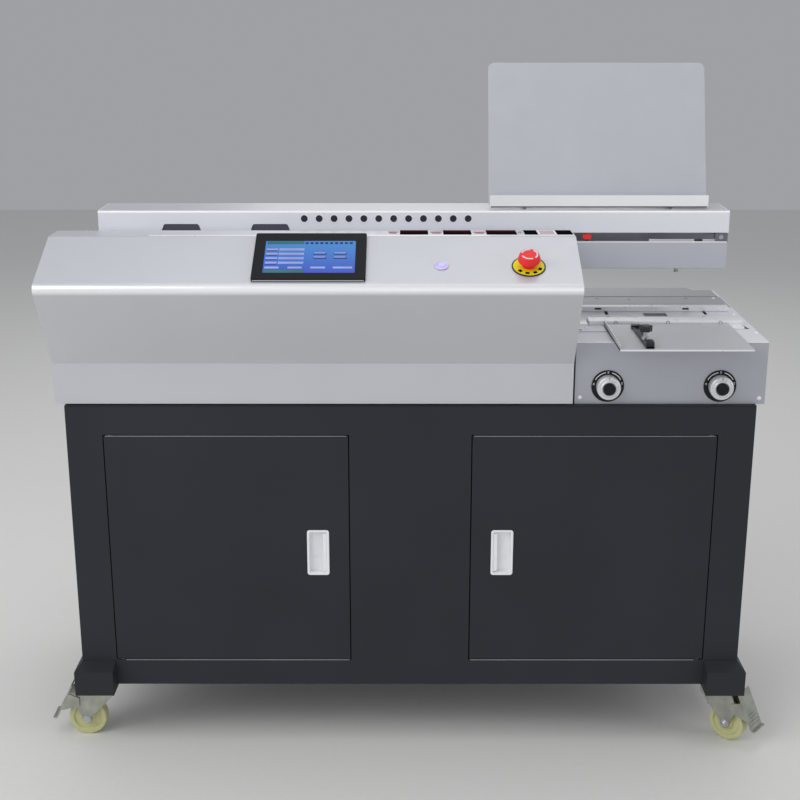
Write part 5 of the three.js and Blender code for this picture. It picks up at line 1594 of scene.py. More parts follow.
@dataclass
class Bed(Assembly):
    """The nipping bed: its box, the slotted top and the two plates that close on the spine."""

    left: float = 303.5
    right: float = 656.0
    front: float = 10.0
    rear: float = 472.0
    foot: float = 700.3
    level: float = 818.6
    sheet: float = 2.0
    rear_edge: float = 496.0
    rear_sheet: float = 405.0
    step: Flat = (603.0, 615.0)
    keys: Flat = (393.0, 590.0)
    key_reach: float = 3.3
    key_runs: tuple[Flat, ...] = ((151.7, 200.3), (236.7, 285.3))
    window_x: Flat = (465.0, 511.0)
    window_y: Flat = (221.0, 255.0)
    plate_x: Flat = (343.0, 640.0)
    plate_fronts: Flat = (138.0, 265.0)
    plate_depth: float = 34.0
    plate_foot: float = 818.9
    plate_top: float = 828.6
    plate_screws: tuple[float, ...] = (394.6, 494.6, 595.2)
    plate_slots: Flat = (378.0, 554.0)
    screw_level: float = 825.0
    tray_gap: Flat = (369.0, 612.0)
    rails: tuple[tuple[str, Flat, Flat, float], ...] = (
        ("step", (307.0, 341.0), (134.5, 168.0), 4.6), ("right", (611.8, 634.0), (110.0, 136.5), 4.0))
    pits: tuple[Flat, ...] = ((393.0, 387.8), (458.6, 378.0), (579.6, 387.8), (391.6, 214.0), (579.4, 214.0),
                              (320.8, 96.0))
    shaft_x: Flat = (364.0, 571.0)
    shaft_level: float = 735.2

    def build(self) -> None:
        """Builds and dresses the bed."""
        self.build_box()
        self.build_top()
        self.build_plates()
        self.build_fittings()
        LOG.info("bed: box, top, nip plates, rails and screws")

    def build_box(self) -> None:
        """Models the four folded walls."""
        bench = self.bench
        top = self.level - self.sheet - 0.3
        walls = bench.block("bed_walls", (self.left, self.right), (self.front, self.rear), (self.foot, top))
        inside = bench.block("bed_hollow", (self.left + self.sheet, self.right - self.sheet),
                             (self.front + self.sheet, self.rear - self.sheet), (self.foot - 5.0, top + 5.0))
        shafts = [bench.bar(f"shaft_hole_{i}", 3.3, (self.front - 3.0, self.front + 5.0), (x, self.shaft_level),
                            Axis.Y, 0.1) for i, x in enumerate(self.shaft_x)]
        bench.cut(walls, inside)
        bench.cut(walls, *shafts)
        bench.round_edges(walls, 0.7, 2, 50.0)
        bench.finish(walls, Finish.BED_PAINT, "machine", ("bed_box",))

    def build_top(self) -> None:
        """Models the slotted top sheet and the raised sheet along its rear, with painted shade towards the back.
        """
        bench = self.bench
        outline = [(self.left, self.front), (self.right, self.front), (self.right, self.rear),
                   (self.step[1], self.rear), (self.step[0], self.rear_edge), (self.left, self.rear_edge)]
        top = bench.prism("bed_sheet", outline, (self.level - self.sheet, self.level), Axis.Z)
        past = (self.level - self.sheet - 3.0, self.level + 3.0)
        tools = [bench.block("bed_window", self.window_x, self.window_y, past)]
        tools += [bench.block(f"key_slot_{i}_{k}", (x - self.key_reach, x + self.key_reach), run, past)
                  for i, x in enumerate(self.keys) for k, run in enumerate(self.key_runs)]
        bench.cut(top, *tools)
        bench.round_edges(top, 0.7, 2, 50.0)
        bench.finish(top, Finish.BED_TOP_PAINT, "machine", ("bed_top",))
        # Painted shade: the raised rear sheet and a thin film behind the back plate take darker paint, so the bed
        # turns darker towards the back.
        raised = [(self.left + 3.0, self.rear_sheet), (self.right - 6.0, self.rear_sheet),
                  (self.right - 6.0, self.rear - 3.0),
                  (self.step[1] - 4.0, self.rear - 3.0), (self.step[0] - 3.0, self.rear_edge - 3.0),
                  (self.left + 3.0, self.rear_edge - 3.0)]
        sheet = bench.prism("bed_rear_sheet", raised, (self.level + 0.1, self.level + 1.3), Axis.Z, 0.3)
        bench.finish(sheet, Finish.REAR_PAINT, "machine")
        shade_film = bench.block("bed_rear_film", (self.left + 2.0, self.right - 2.0),
                           (self.plate_fronts[1] + self.plate_depth + 4.0, self.rear_sheet - 1.0),
                           (self.level + 0.02, self.level + 0.08), 0.02)
        bench.finish(shade_film, Finish.REAR_PAINT, "machine")
        # Painted shade: a dark plate below the bed's window stands in for the shade inside it.
        shade_sheet = bench.block("bed_window_shutter", (self.window_x[0] - 4.0, self.window_x[1] + 4.0),
                              (self.window_y[0] - 4.0, self.window_y[1] + 4.0),
                              (self.level - self.sheet - 1.8, self.level - self.sheet - 0.3), 0.4)
        bench.finish(shade_sheet, Finish.SHADED_PAINT, "machine")

    def build_plates(self) -> None:
        """Models the nip plates with their keys, screws and slots."""
        bench = self.bench
        front, back = self.plate_fronts
        centre = (self.plate_foot + self.plate_top) / 2
        for name, near in (("front_nip_plate", front), ("back_nip_plate", back)):
            bar = bench.block(f"{name}_bar", self.plate_x, (near, near + self.plate_depth),
                              (self.plate_foot, self.plate_top))
            if near == back:
                slots = [bench.prism(f"{name}_slot_{k}", rounded_rectangle(14.0, 4.0, 1.9, (x, centre)),
                                     (near - 2.0, near + 1.6), Axis.Y) for k, x in enumerate(self.plate_slots)]
                bench.cut(bar, *slots)
            bench.round_edges(bar, 1.4, 3, 50.0)
            middle = near + self.plate_depth / 2
            keys = [bench.block(f"{name}_key_{k}", around(x, 3.0), around(middle, 3.0),
                                (self.level - 14.0, self.plate_foot + 3.0), 0.5) for k, x in enumerate(self.keys)]
            bench.finish(bench.join(bar, *keys), Finish.PALE_ALLOY, name, (name,))
        rear, top = back + self.plate_depth, self.plate_top
        # Painted shade: a dark plate over the rear half of the back plate's top.
        cap = bench.block("back_nip_cap", (self.plate_x[0] + 1.6, self.plate_x[1] - 1.6),
                          (rear - self.plate_depth * 0.48, rear - 1.6), (top - 0.3, top + 0.15), 0.1)
        bench.finish(cap, Finish.REAR_PAINT, "back_nip_plate")
        places = [(x, front, self.screw_level) for x in self.plate_screws]
        bench.screws("front_nip_screws", places, Axis.Y, -1.0, 2.7, Finish.PALE_ALLOY, "front_nip_plate", 1.0)
        seat = tube_profile(2.6, 3.5, front - 0.4, front + 0.3)
        seats = [bench.turned(f"nip_seat_{i}", seat, (x, self.screw_level), Axis.Y, 24)
                 for i, x in enumerate(self.plate_screws)]
        bench.group("front_nip_seats", seats, Finish.BLACK_PLASTIC, "front_nip_plate")
        pads = [bench.prism(f"nip_slot_pad_{k}", rounded_rectangle(13.6, 3.6, 1.7, (x, centre)),
                            (back + 1.4, back + 1.6), Axis.Y, 0.05) for k, x in enumerate(self.plate_slots)]
        bench.group("back_nip_pads", pads, Finish.BLACK_PLASTIC, "back_nip_plate")

    def build_fittings(self) -> None:
        """Adds the rails beside the tray, painted highlights along the front top edge, the pits, the corner notch
        and the screws.
        """
        bench, level = self.bench, self.level
        rail = bench.block("bed_rail_left", (307.0, 369.5), (88.0, 134.0), (level + 0.2, level + 2.6), 0.5)
        bench.finish(rail, Finish.BED_TOP_PAINT, "machine")
        rails = [bench.block(f"bed_rail_{name}", x, y, (level + 0.2, level + lift), 0.6)
                 for name, x, y, lift in self.rails]
        # Painted highlight: pale strips along the bed's front top edge beside the tray stand in for the light that
        # it catches.
        edges = ((self.left + 1.5, self.tray_gap[0]), (self.tray_gap[1], self.right - 1.5))
        rails += [bench.block(f"bed_edge_{i}", span, (self.front - 0.2, self.front + 1.4),
                              (level - 1.9, level + 0.15), 0.1) for i, span in enumerate(edges)]
        bench.group("bed_bright_rails", rails, Finish.PALE_ALLOY, "machine")
        pits = [bench.prism("bed_notch", [(636.5, 113.0), (645.0, 113.0), (641.0, 138.0)],
                            (level + 0.05, level + 0.25), Axis.Z, 0.05)]
        for i, place in enumerate(self.pits):
            face = level + (2.6 if i == 5 else 0.0)
            profile = [(1.6, face), (1.9, face + 0.18), (3.8, face + 0.18), (4.2, face), (1.6, face)]
            pits.append(bench.turned(f"pit_{i}", profile, place, Axis.Z, 24))
        bench.group("bed_pits", pits, Finish.BLACK_PLASTIC, "machine")
        tops = [(637.0, 387.8, level), (644.2, 237.2, level), (649.5, 80.2, level), (334.9, 112.0, level + 2.6),
                (616.4, 118.0, level + 4.0)]
        bench.screws("bed_top_screws", tops, Axis.Z, 1.0, 3.8, Finish.PALE_ALLOY, "machine", 2.4)
        fronts = [(314.1, self.front, 712.9), (645.1, self.front, 711.4)]
        bench.screws("bed_front_screws", fronts, Axis.Y, -1.0, 4.2, Finish.PALE_ALLOY, "machine", 2.2)
        sides = [(self.right, y, 722.0) for y in (60.0, 245.0, 420.0)]
        bench.screws("bed_side_screws", sides, Axis.X, 1.0, 3.6, Finish.SATIN_STEEL, "machine", 1.8)


@dataclass
class Tray(Assembly):
    """The paper tray over the bed's front edge, with its sliding side stop."""

    left: float = 371.0
    width: float = 239.0
    front: float = -68.0
    rear: float = 134.0
    level: float = 824.0
    sheet: float = 2.0
    hem: float = 3.5
    rim: float = 7.0
    runner_foot: float = 818.9
    stop_x: Flat = (418.0, 433.0)
    stop_y: Flat = (-62.0, 104.0)
    stop_foot: float = 824.3
    knob: Flat = (425.5, -8.0)
    knob_foot: float = 843.1
    knob_top: float = 854.1
    stem_top: float = 848.0
    lobes: int = 5

    def build(self) -> None:
        """Builds and dresses the tray and its stop."""
        self.build_sheet()
        self.build_stop()
        self.build_knob()
        LOG.info("tray: sheet, side stop and wing knob")

    def build_sheet(self) -> None:
        """Models the folded sheet, its rim and its runners, and the painted highlights on its edges."""
        bench = self.bench
        right = self.left + self.width
        corners = [(self.rear, self.level), (self.front, self.level), (self.front, self.level - self.hem)]
        section = sheet_section(bent_line(corners, [1.4], 4), self.sheet)
        top = bench.prism("tray_sheet", section, (self.left, right), radius=0.4, angle=50.0)
        rim = bench.block("tray_rim", (self.left, self.left + self.sheet), (self.front, self.rear),
                          (self.level - self.hem, self.level + self.rim), 0.6)
        runners = [bench.block(f"tray_runner_{i}", around(x, 6.0), (11.0, self.rear - 1.0),
                               (self.runner_foot, self.level - self.sheet + 0.2), 0.4)
                   for i, x in enumerate((self.left + 30.0, right - 30.0))]
        joined = bench.join(top, rim, *runners)
        bench.finish(joined, Finish.TRAY_PAINT, "machine", ("paper_tray",), 28.0)
        # Painted highlights: pale strips on the tray's front edge and on top of its rim.
        edges = [bench.block("tray_front_edge", (self.left + 0.5, right - 0.5),
                             (self.front - 0.25, self.front + 0.3),
                             (self.level - self.hem + 0.5, self.level - 0.7), 0.08),
                 bench.block("tray_rim_edge", (self.left + 0.3, self.left + 1.7),
                             (self.front + 4.0, self.rear - 1.0),
                             (self.level + self.rim - 0.2, self.level + self.rim + 0.1), 0.05)]
        bench.group("tray_bright_edges", edges, Finish.PALE_ALLOY, "machine")

    def build_stop(self) -> None:
        """Models the dark bar of the side stop with its foot, its guide and its stem."""
        bench = self.bench
        (x0, x1), (y0, y1), z = self.stop_x, self.stop_y, self.stop_foot
        bar = bench.block("stop_bar", self.stop_x, self.stop_y, (z, z + 4.0))
        bench.cut(bar, bench.block("stop_groove", (x0 + 5.0, x1 - 5.0), (-34.0, y1 - 12.0), (z + 2.6, z + 6.0)))
        bench.round_edges(bar, 0.6, 2, 50.0)
        steps = ((0.0, 0.0), (26.0, 0.0), (26.0, 9.0), (21.0, 12.0), (3.0, 12.0), (0.0, 9.0))
        outline = [(y0 + y, z + rise) for y, rise in steps]
        foot = bench.prism("stop_foot", outline, (x0 + 0.2, x1 - 0.2), radius=0.7)
        end = bench.block("stop_end", (x0 - 1.0, x1 + 1.0), (y1 - 14.0, y1 - 0.5), (z + 0.1, z + 6.5), 0.8)
        bench.finish(bench.join(bar, foot, end), Finish.STOP_STEEL, "side_stop", ("side_stop",))
        profile = [(0.0, z + 2.0), (7.0, z + 2.0), (7.0, z + 9.0), (6.2, z + 10.0), (4.0, z + 10.0),
                   (4.0, self.stem_top), (0.0, self.stem_top)]
        stem = bench.turned("stop_stem", profile, self.knob, steps=32)
        bench.finish(stem, Finish.SATIN_STEEL, "side_stop")

    def build_knob(self) -> None:
        """Models the black wing knob with its steel insert."""
        bench = self.bench
        outline: list[Flat] = []
        for i in range(60):
            turn = math.tau * i / 60
            reach = 11.0 * (1.0 + 0.1 * math.cos(self.lobes * turn))
            outline.append((self.knob[0] + reach * math.cos(turn), self.knob[1] + reach * math.sin(turn)))
        knob = bench.prism("wing_knob", outline, (self.knob_foot, self.knob_top), Axis.Z)
        bore = bench.bar("wing_bore", 4.3, (self.knob_foot - 2.0, self.knob_foot + 5.5), self.knob, edge=0.1)
        bench.cut(knob, bore)
        bench.round_edges(knob, 1.6, 3, 50.0)
        bench.finish(knob, Finish.BLACK_PLASTIC, "side_stop_knob", ("side_stop_knob",), 40.0)
        top = self.knob_top
        dome = [(0.0, top - 0.6), (3.4, top - 0.6), (3.4, top + 0.1), (2.8, top + 0.4), (0.0, top + 0.4)]
        cap = bench.turned("wing_cap", dome, self.knob, steps=24)
        bench.finish(cap, Finish.SHADED_PAINT, "side_stop_knob")


@dataclass
class Dial(Assembly):
    """A setting dial on the bed's front."""

    name: str
    place: float
    front: float = 10.0
    level: float = 735.2
    ring: float = 30.2
    knob: float = 22.0
    hub: float = 11.0
    arc_radius: float = 26.2
    arcs: tuple[Flat, ...] = ((100.0, 152.0), (28.0, 75.0))
    marks: tuple[float, ...] = (90.0, 171.0, 12.0)
    mark_radius: float = 26.4

    @property
    def bench(self) -> Bench:
        """The bench in the dial's middle, with Z towards the operator."""
        return Bench.at((self.place, self.front, self.level), 90.0)

    def build(self) -> None:
        """Builds and dresses the dial."""
        self.build_ring()
        self.build_knob()
        LOG.info("%s: ring with its scale, knob and hub", self.name)

    def build_ring(self) -> None:
        """Models the black ring with its white arcs."""
        bench, name, r = self.bench, self.name, self.ring
        profile = [(3.3, 0.3), (r - 0.5, 0.3), (r, 0.8), (r, 1.4), (r - 0.5, 1.9), (3.3, 1.9), (3.3, 0.3)]
        ring = bench.turned(f"{name}_plate", profile, steps=64)
        bench.finish(ring, Finish.DIAL_BLACK, "machine", (f"{name}_ring",))
        prints: list[Piece] = []
        for i, (start, end) in enumerate(self.arcs):
            inner, outer = around(self.arc_radius, 0.8)
            band = arc((0.0, 0.0), outer, start, end, 12) + arc((0.0, 0.0), inner, end, start, 12)
            prints.append(bench.prism(f"{name}_arc_{i}", band, (1.8, 2.05), Axis.Z, 0.05))
        across = [(-1.5, -0.55), (1.5, -0.55), (1.5, 0.55), (-1.5, 0.55)]
        for i, turn in enumerate(self.marks):
            angle = math.radians(turn)
            x, y = self.mark_radius * math.cos(angle), self.mark_radius * math.sin(angle)
            for k, offset in enumerate((-1.2, 1.2)):
                points = [(x + a, y + b + offset) for a, b in across]
                prints.append(bench.prism(f"{name}_mark_{i}_{k}", points, (1.8, 2.0), Axis.Z, 0.05))
        bench.group(f"{name}_scale", prints, Finish.WHITE_PRINT, "machine")

    def build_knob(self) -> None:
        """Models the turned knob with its black hub."""
        bench, name, r, h = self.bench, self.name, self.knob, self.hub
        body = [(0.0, -24.0), (3.0, -24.0), (3.0, 2.2), (r - 1.0, 2.2), (r, 3.2), (r, 17.6), (r - 0.7, 19.2),
                (r - 2.2, 20.2), (17.0, 20.2), (16.2, 20.6), (15.6, 22.4), (14.6, 23.2), (12.6, 23.2),
                (11.9, 22.4), (11.6, 20.6), (0.0, 20.6)]
        knob = bench.turned(f"{name}_disc", body, steps=64)
        bench.finish(knob, Finish.DIAL_SILVER, name, (f"{name}_knob",))
        cap = [(0.0, 20.7), (h - 0.1, 20.7), (h, 21.2), (h, 26.4), (h - 0.8, 27.6), (h - 2.2, 28.2),
               (h - 3.2, 28.0), (h - 3.8, 27.2), (0.0, 27.2)]
        hub = bench.turned(f"{name}_hub", cap, steps=48)
        bench.finish(hub, Finish.DIAL_BLACK, name)
        tick = bench.block(f"{name}_pointer", (-0.7, 0.7), (12.6, 21.0), (20.0, 20.35), 0.05)
        bench.finish(tick, Finish.SHADED_PAINT, name)


@dataclass
class Reshaped(Assembly):
    """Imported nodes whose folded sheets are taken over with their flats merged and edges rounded."""

    body: str
    finish: Finish
    radii: dict[str, float]

    def build(self) -> None:
        """Rounds and dresses every node of the group."""
        bench = self.bench
        for node, radius in self.radii.items():
            piece = bench.reworked(node, f"{node}_shape", radius)
            bench.finish(piece, self.finish, self.body, (node,), 28.0)
        LOG.info("%s: %d folded sheets", self.body, len(self.radii))


@dataclass
class Cabinet(Assembly):
    """The wheeled cabinet: frame, walls, doors with their pulls, and foot brackets."""

    pull_x: float = 175.0
    pull_level: float = 408.0
    flange: Flat = (42.0, 92.0)
    shell: Flat = (37.4, 87.4)
    recess: Flat = (33.4, 83.4)
    door_x: Flat = (116.0, 570.5)
    door_z: Flat = (184.0, 641.0)
    half: float = 639.5
    depth: float = 490.0
    doors: tuple[tuple[float, str], ...] = ((-1.0, "left_door"), (1.0, "right_door"))
    hinge: Flat = (560.5, 6.0)
    sill_z: Flat = (181.2, 182.3)
    door_top_z: Flat = (640.2, 641.3)
    inlet: Flat = (520.0, 240.0)

    def build(self) -> None:
        """Builds and dresses the cabinet."""
        Reshaped("machine", Finish.SLATE_PAINT, {
            "cabinet_front_frame": 1.0, "cabinet_left_side": 0.6, "cabinet_right_side": 0.6, "cabinet_back": 0.5,
            "cabinet_floor": 0.5, "cabinet_deck": 0.6}).build()
        Reshaped("machine", Finish.BRACKET_PAINT, {
            f"foot_bracket_{end}_{side}": 1.6 for end in ("front", "rear") for side in ("left", "right")}).build()
        for side, name in self.doors:
            Reshaped(name, Finish.SLATE_PAINT, {name: 1.2}).build()
            self.build_pull(side, name)
            self.build_hinge_pins(side, name)
        self.build_sills()
        self.build_inlet()
        self.build_fasteners()
        LOG.info("cabinet: frame, walls, doors, pulls, inlet and screws")

    def build_pull(self, side: float, name: str) -> None:
        """Models a recessed pull.

        Args:
            side: -1 for the left door and 1 for the right one.
            name: the door's body.
        """
        bench = Bench.at((side * self.pull_x, 0.0, self.pull_level), 90.0)
        flange = bench.prism(f"{name}_flange", rounded_rectangle(*self.flange, 5.0), (0.3, 1.8), Axis.Z)
        shell = bench.prism(f"{name}_shell", rounded_rectangle(*self.shell, 3.5), (-13.0, 0.8), Axis.Z)
        joined = bench.modify(flange, "BOOLEAN", operation="UNION", solver="EXACT", object=shell)
        bench.discard(shell)
        recess = bench.prism(f"{name}_recess", rounded_rectangle(*self.recess, 3.0), (-11.0, 3.0), Axis.Z)
        bench.cut(joined, recess)
        lip = bench.block(f"{name}_lip", (side * -16.2, side * -9.0), (-38.0, 38.0), (-1.2, 0.6), 0.5)
        bench.round_edges(joined, 0.7, 3, 50.0)
        bench.group(f"{name}_pull_shape", [joined, lip], Finish.WHITE_PLASTIC, name, (f"{name}_pull",), 40.0)

    def build_hinge_pins(self, side: float, name: str) -> None:
        """Adds the bright bushes at a door's hinge corners.

        Args:
            side: -1 for the left door and 1 for the right one.
            name: the door's body.
        """
        bench, (x, y) = self.bench, self.hinge
        levels = (self.door_z[0] - 1.4, self.door_z[1] + 0.3)
        rings = [bench.turned(f"{name}_bush_{i}", tube_profile(3.1, 4.8, z, z + 0.9), (side * x, y), steps=24)
                 for i, z in enumerate(levels)]
        bench.group(f"{name}_bushes", rings, Finish.ZINC_STEEL, name)

    def build_sills(self) -> None:
        """Adds painted highlights: light strips where the doorways' sills and the doors' tops catch the light."""
        bench, (inner, outer) = self.bench, self.door_x
        sill_highlights = [bench.block(f"sill_{i}", self.span(side, inner + 2.0, outer - 16.0), (-0.25, 1.6),
                             self.sill_z, 0.3) for i, (side, _) in enumerate(self.doors)]
        bench.group("doorway_sills", sill_highlights, Finish.WORN_EDGE, "machine")
        for side, name in self.doors:
            edge = bench.block(f"{name}_top_edge", self.span(side, inner + 3.0, outer - 3.0), (-0.2, 1.2),
                               self.door_top_z, 0.3)
            bench.finish(edge, Finish.WORN_EDGE, name)

    @staticmethod
    def span(side: float, inner: float, outer: float) -> Flat:
        """The limits along X of what lies between two distances from the middle, on one side."""
        return (-outer, -inner) if side < 0 else (inner, outer)

    def build_inlet(self) -> None:
        """Rounds the mains inlet and adds its three contact blades and two screws."""
        bench, (x, z) = self.bench, self.inlet
        shell = bench.reworked("power_inlet", "power_inlet_shape", 0.6)
        bench.finish(shell, Finish.BLACK_PLASTIC, "machine", ("power_inlet",))
        blades = [bench.block(f"inlet_blade_{i}", around(x + dx, 1.0), (478.0, 489.0), around(z + dz, 2.0), 0.4)
                  for i, (dx, dz) in enumerate(((-7.0, -1.5), (0.0, 2.5), (7.0, -1.5)))]
        bench.group("inlet_blades", blades, Finish.SATIN_STEEL, "machine")
        bench.screws("inlet_screws", [(x - 19.0, 492.6, z), (x + 19.0, 492.6, z)], Axis.Y, 1.0, 2.6,
                     Finish.ZINC_STEEL, "machine", 0.9)

    def build_fasteners(self) -> None:
        """Adds the screws on the cabinet's sides and back."""
        bench = self.bench
        back = [(x, self.depth, z) for x in (-600.0, -200.0, 200.0, 600.0) for z in (160.0, 670.0)]
        back += [(x, self.depth, 415.0) for x in (-600.0, 600.0)]
        bench.screws("cabinet_back_screws", back, Axis.Y, 1.0, 4.2, Finish.ZINC_STEEL, "machine", 1.8)
        for side, name in ((-1.0, "left"), (1.0, "right")):
            places = [(side * self.half, y, z) for y in (50.0, 250.0, 450.0) for z in (210.0, 670.0)]
            bench.screws(f"cabinet_{name}_screws", places, Axis.X, side, 4.2, Finish.ZINC_STEEL, "machine", 1.8)


@dataclass
class Caster(Assembly):
    """A swivel caster: its fork with race and bolts, its wheel and, in front, its brake pedal."""

    place: str
    swivel: Flat
    angle: float
    braked: bool
    axle: Flat = (33.0, 37.5)
    plate_y: Flat = (16.0, 19.0)
    pedal_top: Flat = (58.0, 112.0)
    pedal_toe: Flat = (92.0, 41.0)

    @property
    def bench(self) -> Bench:
        """The bench on the floor below the swivel, with X trailing."""
        return Bench.at((*self.swivel, 0.0), 0.0, self.angle)

    def build(self) -> None:
        """Builds and dresses the caster."""
        self.build_fork()
        self.build_wheel()
        if self.braked:
            self.build_pedal()
        LOG.info("caster %s: fork, wheel%s", self.place, " and pedal" if self.braked else "")

    def build_fork(self) -> None:
        """Models the ball race, the crown and the two legs with their axle bolt."""
        bench = self.bench
        body = f"swivel_{self.place}"
        tail = 56.0 if self.braked else 43.0
        leg_line = [(-24.5, 105.0), (-24.5, 94.0), (-20.0, 88.0), (23.5, 41.0)] \
            + arc(self.axle, 10.0, 200.0, 350.0, 10) + [(44.5, 44.0), (tail, 70.0), (tail, 81.0), (43.5, 105.0)]
        low, high = self.plate_y
        legs = [bench.prism(f"{body}_leg_{i}", leg_line, limits, Axis.Y, 0.8)
                for i, limits in enumerate(((-high, -low), (low, high)))]
        crown = bench.block(f"{body}_crown", (-24.5, 43.5), (-high, high), (103.7, 107.7), 1.6, 3)
        race_line = [(0.0, 106.5), (22.0, 106.5), (24.6, 107.6), (26.0, 109.4), (25.6, 111.6), (23.8, 112.5),
                     (25.6, 113.3), (26.0, 115.4), (25.0, 117.4), (0.0, 117.4)]
        nut_line = [(0.0, 104.0), (8.0, 104.0), (8.4, 103.0), (8.4, 98.6), (7.4, 97.6), (4.0, 97.6), (4.0, 95.8),
                    (0.0, 95.8)]
        race = bench.turned(f"{body}_race", race_line)
        nut = bench.turned(f"{body}_king_nut", nut_line, steps=6)
        if self.braked:
            bore = bench.bar(f"{body}_bore", 3.3, (-high - 4.0, high + 4.0), (50.0, 76.0), Axis.Y, 0.1)
            legs = [bench.join(*legs)]
            bench.cut(legs[0], bore)
        ribs = [bench.block(f"{body}_rib_{i}", (-6.0, 4.0), (side * (high - 1.6), side * (high + 0.7)),
                            (68.0, 101.0), 0.9) for i, side in enumerate((-1.0, 1.0))]
        joined = bench.join(crown, *legs, race, nut, *ribs)
        bench.finish(joined, Finish.ZINC_STEEL, body, (f"caster_fork_{self.place}",), 35.0)
        bolt_line = [(0.0, -24.0), (4.0, -24.0), (5.0, -23.2), (5.0, -19.2), (7.6, -19.2), (8.0, -19.0),
                     (8.0, -18.8), (5.0, -18.6), (5.0, 18.6), (8.0, 18.8), (8.0, 19.2), (7.4, 19.2), (7.4, 22.6),
                     (4.0, 23.0), (4.0, 24.0), (0.0, 24.0)]
        bolt = bench.turned(f"{body}_axle", bolt_line, self.axle, Axis.Y, 24)
        bench.finish(bolt, Finish.GROUND_STEEL, body, (), 35.0)

    def build_wheel(self) -> None:
        """Models the nylon wheel with its crowned tread and raised hub."""
        bench = self.bench
        half = [(5.3, 14.5), (13.2, 14.5), (14.0, 13.7), (14.6, 9.2), (16.4, 8.0), (26.0, 8.0), (28.4, 11.8),
                (33.6, 12.5), (36.3, 11.2), (37.4, 8.4), (37.5, 4.0)]
        profile = [(r, -y) for r, y in half] + half[::-1] + [(5.3, -14.5)]
        wheel = bench.turned(f"wheel_{self.place}_shape", profile, self.axle, Axis.Y, 56)
        bench.finish(wheel, Finish.CREAM_NYLON, f"wheel_{self.place}", (f"caster_wheel_{self.place}",), 40.0)

    def build_pedal(self) -> None:
        """Rounds the brake pedal and adds the grip ribs on its tread."""
        bench = self.bench
        body = f"pedal_{self.place}"
        pedal = bench.reworked(f"brake_pedal_{self.place}", f"{body}_shape", 0.7)
        run, rise = self.pedal_toe[0] - self.pedal_top[0], self.pedal_toe[1] - self.pedal_top[1]
        slope = math.degrees(math.atan2(rise, run))
        ribs: list[Piece] = []
        for i in range(4):
            share = 0.62 + 0.085 * i
            x, z = self.pedal_top[0] + run * share, self.pedal_top[1] + rise * share
            bar = bench.block(f"{body}_rib_{i}", around(x, 1.0), (-18.0, 18.0), (z + 1.9, z + 3.5), 0.4)
            ribs.append(bench.copy(bar, f"{body}_grip_{i}", turn=-slope, axis=Axis.Y, about=(x, 0.0, z)))
            bench.discard(bar)
        joined = bench.join(pedal, *ribs)
        bench.finish(joined, Finish.ZINC_STEEL, body, (f"brake_pedal_{self.place}",), 35.0)


@dataclass
class Housing(Assembly):
    """The fixed housing behind the cover, with its hinge strip and vents."""

    left: float = -639.5
    rear: float = 490.0
    vents: tuple[tuple[str, Flat, float, Finish], ...] = (
        ("rear_louvres", (-341.25, -11.25), 834.0, Finish.SILVER_PAINT),
        ("cabinet_louvres", (-330.0, 330.0), 560.0, Finish.SLATE_PAINT))
    vent_rows: int = 6
    vent_pitch: float = 18.0
    vent_length: float = 140.0

    def build(self) -> None:
        """Builds and dresses the housing."""
        Reshaped("machine", Finish.SILVER_PAINT, {
            "housing_left_side": 0.6, "housing_right_side": 0.6, "rear_housing": 0.6,
            "cover_hinge_strip": 0.4}).build()
        Reshaped("machine", Finish.GROUND_STEEL, {"cover_hinge_pin": 0.5}).build()
        for name, centres, level, surface in self.vents:
            self.build_louvres(name, centres, level, surface)
        places = [(x, self.rear, z) for x in (-620.0, -176.0, 268.0) for z in (720.0, 884.0)]
        self.bench.screws("rear_housing_screws", places, Axis.Y, 1.0, 4.0, Finish.ZINC_STEEL, "machine", 1.7)
        sides = [(self.left, y, 722.0) for y in (60.0, 250.0, 440.0)]
        sides += [(self.left, y, 880.0) for y in (440.0, 300.0)]
        self.bench.screws("housing_left_screws", sides, Axis.X, -1.0, 4.0, Finish.ZINC_STEEL, "machine", 1.7)
        LOG.info("housing: sides, rear, hinge strip, louvres and screws")

    def build_louvres(self, name: str, centres: Flat, level: float, surface: Finish) -> None:
        """Models the pressed hoods over a panel's vent slots.

        Args:
            name: the piece's name.
            centres: middle of each bank along X.
            level: middle of the highest slot.
            surface: the panel's finish.
        """
        bench, x, y = self.bench, centres[0], self.rear
        hood = [(y - 0.4, level + 5.6), (y + 0.2, level + 5.6), (y + 3.4, level - 1.4), (y + 3.4, level - 2.6),
                (y + 2.2, level - 2.6), (y - 0.4, level + 3.2)]
        first = bench.prism(f"{name}_hood", hood, (x - self.vent_length / 2 - 2.0, x + self.vent_length / 2 + 2.0),
                            radius=0.3)
        hoods = [bench.copy(first, f"{name}_{i}_{k}", (centre - x, 0.0, -self.vent_pitch * k))
                 for i, centre in enumerate(centres) for k in range(self.vent_rows)]
        bench.discard(first)
        bench.group(name, hoods, surface, "machine", (), 28.0)


@dataclass
class Carriage(Assembly):
    """The frame plate, the guide rods and the clamp's carriage on them."""

    screw_x: tuple[float, ...] = (-560.0, -100.0, 180.0, 560.0)

    def build(self) -> None:
        """Builds and dresses the frame plate, the rods and the carriage."""
        Reshaped("machine", Finish.DARK_STEEL, {"machine_frame": 0.8}).build()
        Reshaped("clamp_carriage", Finish.BED_PAINT, {"clamp_carriage": 0.8}).build()
        Reshaped("machine", Finish.GROUND_STEEL, {"lower_guide_rod": 0.6, "upper_guide_rod": 0.6}).build()
        places = [(x, 252.0, 720.0) for x in self.screw_x]
        self.bench.screws("frame_screws", places, Axis.Y, -1.0, 5.0, Finish.ZINC_STEEL, "machine", 3.0)
        LOG.info("carriage: frame plate, rods and saddle")


